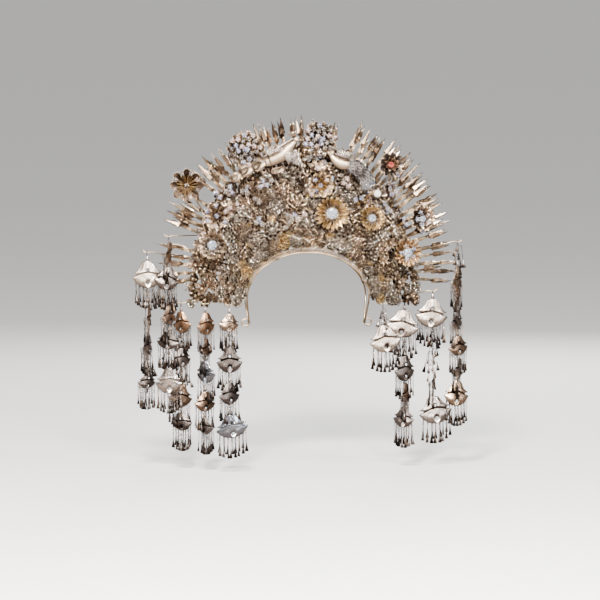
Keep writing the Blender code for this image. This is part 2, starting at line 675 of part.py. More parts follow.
def add_string(row, bell_mesh, look):
    """A ring on its hook, then bell plates on lengths of chain, each with a fringe of drops."""
    hang = Vector((row["x"], row["y"], row["z"]))
    slack = RING_RADIUS - RING_WIRE - HOOK_WIRE - GAP
    ring_centre = hang - Vector((0.0, 0.0, slack))
    ring = []
    for i in range(RING_SIDES):
        turn = math.tau * i / RING_SIDES
        ring.append(ring_centre + RING_RADIUS * Vector((0.0, math.cos(turn), math.sin(turn))))
    made = add_object(row["name"], tube("ring", ring, RING_WIRE, 1, cyclic=True), look, hang)
    extra = bmesh.new()
    chain_top = ring_centre - Vector((0.0, 0.0, RING_RADIUS))
    for bell in [bell for bell in BELLS if bell["string"] == row["name"]]:
        head = hang - Vector((0.0, 0.0, bell["down"]))
        foot = head - Vector((0.0, 0.0, bell["height"]))
        add_cone(extra, head - BELL_LAP, chain_top, CHAIN_WIRE, CHAIN_WIRE, 5)
        chain_top = foot + BELL_LAP
        place = Matrix.Translation(foot) @ Matrix.Rotation(math.radians(bell["yaw"]), 4, "Z")
        plate = bell_mesh.copy()
        plate.transform(place @ Matrix.Diagonal((bell["width"] / 2, BELL_THICKNESS, bell["height"], 1.0)))
        extra.from_mesh(plate)
        bpy.data.meshes.remove(plate)
        add_drops(extra, place, bell)
    fuse(made, extra)


def add_drops(shape, place, bell):
    """A fringe of flat drops along a bell's foot."""
    half = bell["width"] / 2
    length = DROP_SHARE * bell["height"] + DROP_MORE
    count = 4 if bell["width"] > FOUR_DROPS else 3
    for i in range(count):
        across = DROP_SPAN * (2 * i / (count - 1) - 1)
        rise = 0.06 + 0.20 * across ** 2
        start = place @ Vector((across * half, 0.0, rise * bell["height"] + DROP_LAP))
        end = place @ Vector((across * half, 0.0, rise * bell["height"] - length))
        add_spindle(shape, end, start, DROP_BELT, DROP_RADIUS, 4, DROP_FLAT)


head_frame(metal("head_frame_wire", WIRE))
fan_frame(metal("fan_frame_wire", WIRE))
add_row("laca_row", LACA_TIER, LACA_FLORETS, 0.5, metal("laca_gilt", GOLD))
for number, (tier, count) in enumerate(zip(FLOWER_TIERS, ROW_FLORETS), 1):
    name = f"flower_row_{number}"
    first = 0.5 if number % 2 else 0.25
    add_row(name, tier, count, first, metal(name + "_gilt", GOLD))
for row in ROSETTES:
    add_rosette(row, metal(row["name"] + "_gilt", OCHRE if row["stone"] else GOLD))
    if row["stone"]:
        add_stone(row)
left_sheet = metal("bird_left_sheet", SILVER)
right_sheet = metal("bird_right_sheet", SILVER)
add_bird("bird_left", BIRD_LEFT, (0.022, 0.004), (0.0, -0.010), (96.9, 110.8), left_sheet)
add_bird("bird_right", BIRD_RIGHT, (-0.012, 0.018), (0.0, 0.004), (69.2, 55.4), right_sheet)
for row in SPRAYS:
    add_spray(row, metal(row["name"] + "_silver", SILVER))
bell_mesh = bell_template()
for row in STRINGS:
    add_string(row, bell_mesh, metal(row["name"] + "_silver", DARK_SILVER))
bpy.data.meshes.remove(bell_mesh)
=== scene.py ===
import math
import random

import bmesh
import bpy
from mathutils import Matrix, Vector
from mathutils.bvhtree import BVHTree


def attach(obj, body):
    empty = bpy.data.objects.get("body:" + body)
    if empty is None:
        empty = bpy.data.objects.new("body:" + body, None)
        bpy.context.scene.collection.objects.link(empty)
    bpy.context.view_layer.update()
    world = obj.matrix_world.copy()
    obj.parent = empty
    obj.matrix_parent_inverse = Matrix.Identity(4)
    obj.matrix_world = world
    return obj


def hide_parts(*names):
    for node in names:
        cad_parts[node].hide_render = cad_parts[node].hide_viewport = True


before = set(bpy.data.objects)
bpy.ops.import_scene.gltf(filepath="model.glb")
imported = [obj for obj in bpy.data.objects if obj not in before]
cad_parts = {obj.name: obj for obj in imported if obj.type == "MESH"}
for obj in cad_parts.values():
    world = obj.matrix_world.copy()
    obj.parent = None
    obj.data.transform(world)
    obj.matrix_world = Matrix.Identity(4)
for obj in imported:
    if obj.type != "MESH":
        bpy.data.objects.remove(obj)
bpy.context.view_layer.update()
upward = Vector((0.0, 0.0, 1.0))
print("frame loaded")

# The fan that everything follows: tier 0 is the head arch
fan = {
    "halfWidth": 0.082, "riseAtCrown": 0.061, "across": 0.0141, "rise": 0.028,
    "front": -0.030, "back": 0.012, "rimTier": 5.15, "wireBehind": 0.0022,
    "rowTiers": (1.45, 2.3, 3.15, 4.0, 4.85), "rowGap": 0.85,
    "rowWire": 0.0010, "hoopWire": 0.0014, "spokeWire": 0.0009, "spokes": 16,
}


def tierHalf(tier):
    # half width and height of a tier's ellipse
    return fan["halfWidth"] + fan["across"] * tier, fan["riseAtCrown"] + fan["rise"] * tier


def tierFrame(tier, degrees):
    # point on a tier, with its tangent, outward and front-facing directions
    turn = math.radians(degrees)
    across, rise = tierHalf(tier)
    depth = fan["front"] + fan["back"] * tier
    point = Vector((across * math.cos(turn), depth, -fan["riseAtCrown"] + rise * math.sin(turn)))
    tangent = Vector((-across * math.sin(turn), 0.0, rise * math.cos(turn))).normalized()
    outward = Vector((fan["across"] * math.cos(turn), fan["back"], fan["rise"] * math.sin(turn))).normalized()
    return point, tangent, outward, outward.cross(tangent).normalized()


def behind(tier, degrees, distance):
    point, _, _, facing = tierFrame(tier, degrees)
    return point - facing * distance


def tierStep(degrees):
    turn = math.radians(degrees)
    return math.hypot(fan["across"] * math.cos(turn), fan["back"], fan["rise"] * math.sin(turn))


def tierArc(tier, degrees):
    turn = math.radians(degrees)
    across, rise = tierHalf(tier)
    return math.hypot(across * math.sin(turn), rise * math.cos(turn))


# Directions whose cross product is shorter than this count as parallel
parallel = 1e-5


def facingAt(centre, facing, up=upward):
    # local +Z looks along facing, local +Y as near to up as it goes
    z = facing.normalized()
    x = up.cross(z)
    if x.length < parallel:
        x = Vector((1.0, 0.0, 0.0)).cross(z)
    x.normalize()
    place = Matrix((x, z.cross(x), z)).transposed().to_4x4()
    place.translation = centre
    return place


def at(spot):
    return Matrix.Translation(spot)


def move(x, y, z):
    return Matrix.Translation((x, y, z))


def spinBy(angle, axis="Z"):
    return Matrix.Rotation(angle, 4, axis)


def sized(x, y, z):
    return Matrix.Diagonal((x, y, z, 1.0))


# Quarter turns that stand a ring on edge, facing the front or the side
faceOn = spinBy(math.pi / 2, "X")
edgeOn = spinBy(math.pi / 2, "Y")


def grown(factor):
    return sized(factor, factor, factor)


def around(turn, radius, height=0.0):
    # a point on a circle about local Z
    return Vector((radius * math.cos(turn), radius * math.sin(turn), height))


def turns(count, offset=0.0):
    return [math.tau * (i + offset) / count for i in range(count)]


def table(keys, *rows):
    # a dictionary for each row; a row may leave out its last values
    return [dict(zip(keys.split(), row)) for row in rows]


def setInputs(node, values):
    for name, value in values.items():
        node.inputs[name].default_value = value
    return node


def addObject(name, data):
    made = bpy.data.objects.new(name, data)
    bpy.context.scene.collection.objects.link(made)
    return made


# Radii of the wires that small parts stand on
stemWire = {"fine": 0.0004, "floret": 0.0006, "stout": 0.0008}
# Florets turn by this much from one bead to the next to fill a disc
goldenTurn = 2.4
mergeDistance = 1e-7


# Metals: bright where handled, dark where tarnished and in the hollows, the hollows' dark being painted shade; then
# roughness and how strongly the hollows are painted dark
metals = {
    "gilt": ((0.93, 0.67, 0.44), (0.040, 0.021, 0.012), 0.13, 1.5),
    "paleGilt": ((0.99, 0.84, 0.68), (0.055, 0.033, 0.022), 0.13, 1.45),
    "ochre": ((0.95, 0.61, 0.24), (0.07, 0.034, 0.012), 0.18, 0.85),
    "umber": ((0.66, 0.46, 0.31), (0.022, 0.013, 0.009), 0.22, 1.0),
    "buff": ((0.98, 0.77, 0.53), (0.05, 0.034, 0.022), 0.30, 1.0),
    "cream": ((1.0, 0.83, 0.68), (0.05, 0.032, 0.024), 0.30, 1.0),
    "brown": ((0.33, 0.215, 0.145), (0.012, 0.008, 0.006), 0.28, 0.9),
    "silver": ((0.90, 0.78, 0.69), (0.042, 0.030, 0.026), 0.19, 1.0),
    "greySilver": ((0.30, 0.245, 0.215), (0.013, 0.010, 0.009), 0.27, 0.9),
    "copper": ((0.50, 0.29, 0.17), (0.06, 0.028, 0.014), 0.27, 0.85),
    "blueSilver": ((0.44, 0.47, 0.52), (0.022, 0.025, 0.031), 0.20, 1.0),
    "wire": ((0.70, 0.52, 0.32), (0.09, 0.055, 0.03), 0.26, 0.6),
}
# Glasses: two colours in patches, painted as the dark and bright flashes of facets (painted shade and painted
# glints), roughness and size of the painted facets
glasses = {
    "bead": ((0.09, 0.09, 0.17), (0.52, 0.52, 0.61), 0.05, 420.0),
    "blush": ((0.30, 0.17, 0.14), (0.60, 0.48, 0.44), 0.10, 300.0),
    "clearStone": ((0.34, 0.44, 0.62), (1.0, 1.0, 1.0), 0.04, 420.0),
    "redStone": ((0.13, 0.02, 0.015), (0.34, 0.08, 0.055), 0.06, 200.0),
    "pearl": ((0.46, 0.42, 0.37), (0.60, 0.56, 0.54), 0.2, 90.0),
}
lookNames = list(metals) + list(glasses)
lookNumber = {name: number for number, name in enumerate(lookNames)}


# Reach of the painted shade in hollows, then random tarnish blotches and grain, the base level and the extra
# roughness where tarnished
wearAndShade = {"reach": 0.0042, "blotches": 1.5, "grain": 0.7, "cleanAndUnshaded": 0.58, "roughened": 0.26}


def tarnishAndShadeGroup():
    # how clean the metal is at a spot, from random tarnish blotches and tone, less a painted shade in its hollows;
    # and its fine grain
    group = bpy.data.node_groups.new("tarnishAndShade", "ShaderNodeTree")
    for name, way, kind in (
        ("Vector", "INPUT", "NodeSocketVector"), ("Tone", "INPUT", "NodeSocketFloat"),
        ("HollowShade", "INPUT", "NodeSocketFloat"), ("CleanAndUnshaded", "OUTPUT", "NodeSocketFloat"),
        ("Grain", "OUTPUT", "NodeSocketFloat"),
    ):
        group.interface.new_socket(name, in_out=way, socket_type=kind)
    nodes, links = group.nodes, group.links
    entry = nodes.new("NodeGroupInput")
    leave = nodes.new("NodeGroupOutput")
    blotch = setInputs(nodes.new("ShaderNodeTexNoise"), {"Scale": 42.0, "Detail": 3.0})
    grain = setInputs(nodes.new("ShaderNodeTexNoise"), {"Scale": 620.0, "Detail": 2.0})
    # an ambient occlusion test: the hollows that it finds are painted darker, as shade
    hollow = setInputs(nodes.new("ShaderNodeAmbientOcclusion"), {"Distance": wearAndShade["reach"]})
    hollow.samples = 6

    def doMath(kind, first, second):
        node = nodes.new("ShaderNodeMath")
        node.operation = kind
        for socket, value in zip(node.inputs, (first, second)):
            if isinstance(value, float):
                socket.default_value = value
            else:
                links.new(value, socket)
        return node.outputs[0]

    for noise in (blotch, grain):
        links.new(entry.outputs["Vector"], noise.inputs["Vector"])
    wide = doMath("MULTIPLY", doMath("SUBTRACT", blotch.outputs[0], 0.5), wearAndShade["blotches"])
    fine = doMath("MULTIPLY", doMath("SUBTRACT", grain.outputs[0], 0.5), wearAndShade["grain"])
    # painted shade: the hollows that the ambient occlusion finds are darkened, scaled per metal
    paintedHollowShade = doMath("MULTIPLY", doMath("SUBTRACT", 1.0, hollow.outputs["AO"]), entry.outputs["HollowShade"])
    cleanAndUnshaded = doMath("SUBTRACT", doMath("ADD", doMath("ADD", wide, fine), entry.outputs["Tone"]), paintedHollowShade)
    final = nodes.new("ShaderNodeClamp")
    links.new(doMath("ADD", cleanAndUnshaded, wearAndShade["cleanAndUnshaded"]), final.inputs["Value"])
    links.new(final.outputs[0], leave.inputs["CleanAndUnshaded"])
    links.new(grain.outputs[0], leave.inputs["Grain"])
    return group


def mixColours(nodes, links, share, first, second):
    mix = nodes.new("ShaderNodeMix")
    mix.data_type = "RGBA"
    links.new(share, mix.inputs["Factor"])
    setInputs(mix, {"A": (*first, 1.0), "B": (*second, 1.0)})
    return mix.outputs["Result"]


def newMaterial(name, values):
    made = bpy.data.materials.new(name)
    made.use_nodes = True
    nodes, links = made.node_tree.nodes, made.node_tree.links
    return made, nodes, links, setInputs(nodes["Principled BSDF"], values)


def makeMetal(name, group, bright, dark, smoothness, hollowShade):
    made, nodes, links, shader = newMaterial(name, {"Metallic": 1.0})
    where = nodes.new("ShaderNodeTexCoord")
    tone = nodes.new("ShaderNodeAttribute")
    tone.attribute_name = "tone"
    agedAndShaded = nodes.new("ShaderNodeGroup")
    agedAndShaded.node_tree = group
    links.new(where.outputs["Object"], agedAndShaded.inputs["Vector"])
    links.new(tone.outputs["Fac"], agedAndShaded.inputs["Tone"])
    agedAndShaded.inputs["HollowShade"].default_value = hollowShade
    links.new(mixColours(nodes, links, agedAndShaded.outputs["CleanAndUnshaded"], dark, bright), shader.inputs["Base Color"])
    rough = nodes.new("ShaderNodeMapRange")
    setInputs(rough, {"To Min": smoothness + wearAndShade["roughened"], "To Max": smoothness})
    links.new(agedAndShaded.outputs["CleanAndUnshaded"], rough.inputs["Value"])
    links.new(rough.outputs[0], shader.inputs["Roughness"])
    bump = setInputs(nodes.new("ShaderNodeBump"), {"Strength": 0.25, "Distance": 0.0004})
    links.new(agedAndShaded.outputs["Grain"], bump.inputs["Height"])
    links.new(bump.outputs["Normal"], shader.inputs["Normal"])
    return made


def makeGlass(name, one, two, rough, scale):
    # a foil behind the clear stones makes them partly metallic
    foil = 0.75 if name == "clearStone" else 0.0
    made, nodes, links, shader = newMaterial(
        name, {"Roughness": rough, "Coat Weight": 0.6, "Coat Roughness": 0.04, "Metallic": foil}
    )
    where = nodes.new("ShaderNodeTexCoord")
    # dark and light patches in the base colour: painted shade and painted glints of facets
    noise = setInputs(nodes.new("ShaderNodeTexNoise"), {"Scale": scale, "Detail": 1.0})
    links.new(where.outputs["Object"], noise.inputs["Vector"])
    sharper = setInputs(nodes.new("ShaderNodeMapRange"), {"From Min": 0.38, "From Max": 0.62})
    links.new(noise.outputs[0], sharper.inputs["Value"])
    links.new(mixColours(nodes, links, sharper.outputs[0], one, two), shader.inputs["Base Color"])
    return made


tarnishAndShade = tarnishAndShadeGroup()
looks = {name: makeMetal(name, tarnishAndShade, *plan) for name, plan in metals.items()}
looks.update({name: makeGlass(name, *plan) for name, plan in glasses.items()})
print("finishes made")


def newShape():
    shape = bmesh.new()
    shape.verts.layers.float.new("tone")
    return shape


def settle(shape, verts, place, look, tone=0.0, smooth=True):
    # puts new vertices in place and gives their faces a finish
    layer = shape.verts.layers.float["tone"]
    bmesh.ops.transform(shape, matrix=place, verts=verts)
    for vert in verts:
        vert[layer] = tone
        for face in vert.link_faces:
            face.material_index = lookNumber[look]
            face.smooth = smooth


def asMesh(shape, name):
    bmesh.ops.recalc_face_normals(shape, faces=shape.faces)
    mesh = bpy.data.meshes.new(name)
    shape.to_mesh(mesh)
    shape.free()
    return mesh


def stamp(shape, mesh, place, look=None, tone=0.0):
    # adds a copy of a small mesh; a new finish leaves its brown parts alone
    copy = mesh.copy()
    copy.transform(place)
    if tone:
        shade = copy.attributes["tone"].data
        values = [0.0] * len(shade)
        shade.foreach_get("value", values)
        shade.foreach_set("value", [value + tone for value in values])
    if look:
        for face in copy.polygons:
            if face.material_index != lookNumber["brown"]:
                face.material_index = lookNumber[look]
    shape.from_mesh(copy)
    bpy.data.meshes.remove(copy)


def drop(mesh):
    bpy.data.meshes.remove(mesh)


def addBead(shape, place, radius, look, tone=0.0, fine=1):
    verts = bmesh.ops.create_icosphere(shape, subdivisions=fine, radius=radius)["verts"]
    settle(shape, verts, place, look, tone)


def addCone(shape, start, end, startRadius, endRadius, sides, look, tone=0.0, smooth=True):
    along = end - start
    verts = bmesh.ops.create_cone(
        shape, cap_ends=True, segments=sides, radius1=startRadius, radius2=endRadius, depth=along.length
    )["verts"]
    settle(shape, verts, facingAt((start + end) / 2, along), look, tone, smooth)


def addTurned(shape, profile, sides, place, look, tone=0.0, smooth=True):
    # spins a profile of (radius, height) points about local Z
    verts = [shape.verts.new((radius, 0.0, height)) for radius, height in profile]
    edges = [shape.edges.new(pair) for pair in zip(verts, verts[1:])]
    before = set(shape.verts) - set(verts)
    bmesh.ops.spin(
        shape, geom=verts + edges, cent=(0, 0, 0), axis=(0, 0, 1), angle=math.tau, steps=sides, use_merge=True
    )
    made = [vert for vert in shape.verts if vert not in before]
    bmesh.ops.remove_doubles(shape, verts=made, dist=mergeDistance)
    settle(shape, [vert for vert in made if vert.is_valid], place, look, tone, smooth)


def ringMesh(name, radius, wire, around, across, look="gilt"):
    shape = newShape()
    bmesh.ops.create_circle(
        shape, segments=across, radius=wire, matrix=move(radius, 0.0, 0.0) @ faceOn
    )
    bmesh.ops.spin(
        shape, geom=shape.verts[:] + shape.edges[:], cent=(0, 0, 0), axis=(0, 0, 1),
        angle=math.tau, steps=around, use_merge=True,
    )
    settle(shape, shape.verts[:], Matrix(), look)
    return asMesh(shape, name)


def addWires(shape, paths, radius, look, tone=0.0, fineness=0, cyclic=False, radii=None):
    # round wires along lists of points, closed at their ends
    line = bpy.data.curves.new("wires", "CURVE")
    line.dimensions = "3D"
    line.bevel_depth = radius
    line.bevel_resolution = fineness
    line.use_fill_caps = not cyclic
    for path in paths:
        spline = line.splines.new("POLY")
        spline.points.add(len(path) - 1)
        spline.use_cyclic_u = cyclic
        for i, (spot, point) in enumerate(zip(spline.points, path)):
            spot.co = (*point, 1.0)
            spot.radius = radii[i] if radii else 1.0
    holder = addObject("wires", line)
    graph = bpy.context.evaluated_depsgraph_get()
    mesh = bpy.data.meshes.new_from_object(holder.evaluated_get(graph))
    bpy.data.objects.remove(holder, do_unlink=True)
    bpy.data.curves.remove(line)
    extra = newShape()
    extra.from_mesh(mesh)
    drop(mesh)
    bmesh.ops.remove_doubles(extra, verts=extra.verts, dist=mergeDistance)
    settle(extra, extra.verts[:], Matrix(), look, tone)
    made = asMesh(extra, "wires")
    shape.from_mesh(made)
    drop(made)


def finishPiece(name, shape, nodes=(), body="crown"):
    # one object with only the finishes that it uses
    bmesh.ops.recalc_face_normals(shape, faces=shape.faces)
    used = sorted({face.material_index for face in shape.faces})
    for face in shape.faces:
        face.material_index = used.index(face.material_index)
    mesh = bpy.data.meshes.new(name)
    shape.to_mesh(mesh)
    shape.free()
    for number in used:
        mesh.materials.append(looks[lookNames[number]])
    made = addObject(name, mesh)
    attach(made, body)
    if nodes:
        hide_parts(*nodes)


def smoothLine(points, steps):
    # a smooth curve through a few points
    padded = [points[0] * 2 - points[1]] + list(points) + [points[-1] * 2 - points[-2]]
    line = []
    for a, b, c, d in zip(padded, padded[1:], padded[2:], padded[3:]):
        for i in range(steps):
            t = i / steps
            line.append(
                0.5 * (2 * b + (c - a) * t + (2 * a - 5 * b + 4 * c - d) * t * t + (3 * b - a - 3 * c + d) * t ** 3)
            )
    return line + [points[-1]]


# Small parts of the filigree
filigree = {
    "ring": 0.0023, "ringWire": 0.00038, "bead": 0.00080,
    "loop": 0.0025, "loopWire": 0.00040, "dish": 0.0010, "posyBead": 0.0012, "posyBeads": 5,
}
granuleRing = ringMesh("granuleRing", filigree["ring"], filigree["ringWire"], 8, 3)
loopRing = ringMesh("loopRing", filigree["loop"], filigree["loopWire"], 10, 4)
jumpRing = ringMesh("jumpRing", 0.0016, 0.00036, 10, 4, "greySilver")


def granuleMesh(name, look, hollow):
    # a wire ring round a bead or round a smaller tilted ring
    shape = newShape()
    stamp(shape, granuleRing, Matrix(), look, 0.15)
    if hollow:
        stamp(shape, granuleRing, move(0, 0, 0.0006) @ spinBy(0.7, "X") @ sized(0.55, 0.55, 0.8), look, 0.2)
    else:
        addBead(shape, move(0, 0, 0.0003), filigree["bead"], look, 0.3)
    return asMesh(shape, name)


def posyMesh(name, look):
    # a tiny flower of beads round one bead
    shape = newShape()
    bead = filigree["posyBead"]
    addCone(shape, Vector((0, 0, -0.0020)), Vector((0, 0, -0.0004)), 0.0008, 0.0032, 6, "brown")
    addBead(shape, move(0, 0, 0.0010), bead, "silver" if look == "bead" else look, 0.1, 2)
    for turn in turns(filigree["posyBeads"]):
        addBead(shape, at(around(turn, 2.0 * bead, 0.0002)), bead, look)
    return asMesh(shape, name)


def scallopedDish(shape, sides, foot, radius, depth, notch):
    # every second corner of the rim is drawn in
    verts = bmesh.ops.create_cone(
        shape, cap_ends=True, segments=sides, radius1=foot, radius2=radius, depth=depth
    )["verts"]
    for vert in verts:
        if round(math.atan2(vert.co.y, vert.co.x) * sides / math.tau) % 2:
            vert.co.x *= notch
            vert.co.y *= notch
    return verts


def backingMesh(sides, ringed):
    # the sheet that each floret is soldered to: its front is near-black as painted shade between its wires, worn
    # behind
    shape = newShape()
    verts = scallopedDish(shape, sides, 0.72, 1.0, 0.06, 0.88)
    settle(shape, verts, Matrix(), "umber", -0.15, False)
    # front faces near-black: painted shade in the gaps between wires and florets
    layer = shape.verts.layers.float["tone"]
    for vert in verts:
        if vert.co.z > 0:
            vert[layer] = -1.5
    for face in shape.faces:
        if all(vert.co.z > 0 for vert in face.verts):
            face.material_index = lookNumber["brown"]
    addCone(shape, Vector((0, 0, -0.13)), Vector((0, 0, -0.03)), 0.10, 0.26, 6, "gilt", -0.1)
    if ringed:
        wide, tall = 0.5 / filigree["ring"], 0.08 / filigree["ring"]
        stamp(shape, granuleRing, move(0, 0, -0.035) @ sized(wide, wide, tall), "gilt", -0.1)
    return asMesh(shape, "backing")


backings = (backingMesh(12, False), backingMesh(16, True))
# Radii that the florets are made at, and the least radius that each kind grows to
floretSize = {"big": 0.0115, "small": 0.0074, "posy": 0.0038, "granule": 0.0028}
floretFrom = {"big": 0.0096, "small": 0.0047, "ringed": 0.0066}
granules = {look: [granuleMesh("granule_" + look, look, hollow) for hollow in (False, True, True)]
            for look in ("gilt", "paleGilt", "ochre")}
posies = {look: posyMesh("posy_" + look, look) for look in ("bead", "blush", "silver")}


def addDish(shape, radius, lobes):
    # a thin scalloped dish that the filigree is soldered on, coloured near-black as painted shade under the wires
    verts = scallopedDish(shape, 2 * lobes, radius * 0.7, radius, filigree["dish"], 0.84)
    settle(shape, verts, move(0, 0, -0.0012), "brown", -0.8, False)


def domeFloret(name, radius, rings, look, seed):
    # ring granules over a low dome
    chance = random.Random(seed)
    shape = newShape()
    addDish(shape, radius * 0.92, rings[-1][0])
    lift = radius * 0.40
    for number, (count, spread) in enumerate(rings):
        for turn in turns(count, 0.5 * (number % 2)):
            turn += chance.uniform(-0.06, 0.06)
            height = lift * (1.0 - spread * spread) + chance.uniform(-0.0002, 0.0003)
            place = spinBy(turn) @ move(radius * spread, 0, height) @ spinBy(spread * 0.75, "Y")
            place = place @ spinBy(chance.uniform(-0.4, 0.4), "X")
            granule = chance.choice(granules[look])
            # granules are lighter at the dome's top and darker towards its edge, a painted highlight and shade,
            # with a random tone on top
            stamp(shape, granule, place, tone=0.25 - 0.35 * spread + chance.uniform(-0.25, 0.25))
    return asMesh(shape, name)


def loopFloret(name, radius, petals, look, seed):
    # open wire petals in two whorls with a beaded heart
    chance = random.Random(seed)
    shape = newShape()
    addDish(shape, radius * 0.5, 6)
    size = radius / filigree["loop"]
    for count, reach, share, tilt in ((petals, 0.66, 0.36, -0.28), (petals - 2, 0.40, 0.25, -0.62)):
        outer = count == petals
        for turn in turns(count, 0.0 if outer else 0.5):
            place = spinBy(turn) @ move(radius * reach, 0, radius * (0.05 if outer else 0.2))
            place = place @ spinBy(tilt + chance.uniform(-0.1, 0.1), "Y")
            long = share * size
            stamp(shape, loopRing, place @ sized(long, long * 0.62, 1.2), look, chance.uniform(-0.05, 0.2))
            if outer:
                stamp(shape, loopRing, place @ sized(long * 0.5, long * 0.28, 1.0), look, -0.1)
            tip = place @ move(radius * share * 0.9, 0, 0.0004)
            addBead(shape, tip, 0.0010, look, 0.2)
    for turn in turns(6):
        addBead(shape, at(around(turn, 0.0022, radius * 0.22)), 0.0011, look)
    addBead(shape, move(0, 0, radius * 0.30), 0.0016, look, 0.2)
    return asMesh(shape, name)


def petalPoint(plan, along, across):
    # a spot on a petal that grows along +X and opens upwards
    swell = math.sin(math.pi * min(1.0, 0.10 + 0.86 * along)) ** plan.get("taper", 0.7)
    half = 0.5 * plan["width"] * max(0.16, swell)
    lift = plan["curl"] * plan["length"] * along ** 2 + plan["fold"] * half * across ** 2
    return Vector((plan["root"] + plan["length"] * along, half * across, lift))


def petalMesh(name, plan):
    # a thin plate with a bright wire round its edge and veins
    shape = newShape()
    verts = bmesh.ops.create_grid(shape, x_segments=4, y_segments=5, size=0.5)["verts"]
    for vert in verts:
        vert.co = petalPoint(plan, vert.co.y + 0.5, 2.0 * vert.co.x)
    bmesh.ops.solidify(shape, geom=shape.faces[:], thickness=0.0003)
    settle(shape, shape.verts[:], Matrix(), plan["look"], 0.0)
    steps = 7
    sides = [(i / steps, 1.0) for i in range(steps + 1)] + [(1 - i / steps, -1.0) for i in range(steps + 1)]
    rim = [petalPoint(plan, along, across) + upward * 0.0003 for along, across in sides]
    addWires(shape, [rim], plan["rimWire"], plan["rimLook"], 0.1, cyclic=True)
    veins = []
    for across in plan["veins"]:
        veins.append([petalPoint(plan, i / 4, across * (1 - 0.2 * i / 4)) + upward * 0.0004 for i in range(5)])
    if veins:
        addWires(shape, veins, plan["rimWire"] * 0.8, plan["rimLook"], 0.0)
    return asMesh(shape, name)


def leafFloret(name, radius, petals, look, rimLook, seed, posyLook=None):
    # folded plate petals with wire rims
    chance = random.Random(seed)
    plan = {
        "root": radius * 0.14, "length": radius * 0.84, "width": radius * 2.3 / petals * 1.25, "curl": 0.22,
        "fold": 0.5, "look": look, "rimLook": rimLook, "rimWire": 0.0003, "veins": (0.0,),
    }
    petal = petalMesh(name + "_petal", plan)
    shape = newShape()
    addDish(shape, radius * 0.4, 6)
    for turn in turns(petals):
        place = spinBy(turn) @ spinBy(chance.uniform(-0.2, 0.05), "Y")
        stamp(shape, petal, place, tone=chance.uniform(-0.2, 0.15))
    if posyLook:
        stamp(shape, posies[posyLook], move(0, 0, 0.0022))
    else:
        addBead(shape, move(0, 0, 0.0015), 0.0022, rimLook, 0.2, 2)
    drop(petal)
    return asMesh(shape, name)


bigRings = ((1, 0.0), (6, 0.45), (11, 0.86))
smallRings = ((1, 0.0), (7, 0.70))
bigFlorets = {
    "domeGilt": domeFloret("domeGilt", floretSize["big"], bigRings, "gilt", 1),
    "domePale": domeFloret("domePale", floretSize["big"], bigRings, "paleGilt", 2),
    "domeOchre": domeFloret("domeOchre", floretSize["big"], bigRings, "ochre", 3),
    "loopGilt": loopFloret("loopGilt", 0.0118, 8, "gilt", 4),
    "loopPale": loopFloret("loopPale", 0.0118, 9, "paleGilt", 5),
    "leafBrown": leafFloret("leafBrown", 0.0120, 8, "umber", "gilt", 6, "bead"),
    "leafBlush": leafFloret("leafBlush", 0.0120, 7, "umber", "gilt", 7, "blush"),
    "leafGilt": leafFloret("leafGilt", 0.0118, 9, "gilt", "paleGilt", 8),
}
smallFlorets = {
    "dome": domeFloret("smallDome", floretSize["small"], smallRings, "gilt", 11),
    "domePale": domeFloret("smallDomePale", floretSize["small"], smallRings, "paleGilt", 12),
    "domeOchre": domeFloret("smallDomeOchre", floretSize["small"], smallRings, "ochre", 13),
    "loop": loopFloret("smallLoop", 0.0078, 6, "gilt", 14),
    "leaf": leafFloret("smallLeaf", 0.0080, 6, "umber", "gilt", 15),
}
print("filigree florets made")

# Rosettes stand on a pin in front of a row; x and z are the flower's centre
rosettes = table(
    "name row angle x z ahead radius style stone",
    ("rosette_crown_left", 5, 118.0, -0.083, 0.139, 0.022, 0.026, "posyCluster", None),
    ("rosette_crown_top", 5, 84.0, 0.019, 0.153, 0.022, 0.025, "posyCluster", None),
    ("rosette_daisy", 5, 149.0, -0.162, 0.091, 0.020, 0.0235, "daisy", None),
    ("rosette_left_upper", 4, 146.0, -0.122, 0.050, 0.018, 0.0205, "leafPosy", None),
    ("rosette_left_lower", 4, 158.0, -0.128, 0.010, 0.018, 0.021, "star", "stone_left"),
    ("rosette_centre", 2, 72.0, 0.033, 0.053, 0.016, 0.0235, "sun", "stone_centre"),
    ("rosette_gold", 3, 82.0, 0.019, 0.091, 0.016, 0.0185, "goldPosy", None),
    ("rosette_right_inner", 3, 47.0, 0.089, 0.046, 0.016, 0.0175, "sun", "stone_right_inner"),
    ("rosette_pearl", 4, 52.0, 0.096, 0.079, 0.020, 0.0145, "darkCup", "pearl"),
    ("rosette_right_upper", 5, 50.0, 0.117, 0.118, 0.018, 0.019, "darkCup", "red_stone"),
    ("rosette_right_rim", 5, 26.0, 0.160, 0.044, 0.022, 0.019, "leafCup", "stone_right_rim"),
    ("rosette_right_lower", 4, 20.0, 0.139, -0.002, 0.018, 0.0195, "copperSun", "stone_right_lower"),
)
stones = {
    "stone_left": 0.0068, "stone_centre": 0.0085, "stone_right_inner": 0.0056, "stone_right_rim": 0.0050,
    "stone_right_lower": 0.0066, "red_stone": 0.0046, "pearl": 0.0052,
}
setting = {"lean": 0.35, "sink": 0.0004, "cup": 0.0052, "floor": 0.5, "gap": 0.0003, "pin": 0.0011,
           "beadPitch": 0.0021, "wall": 0.0009}
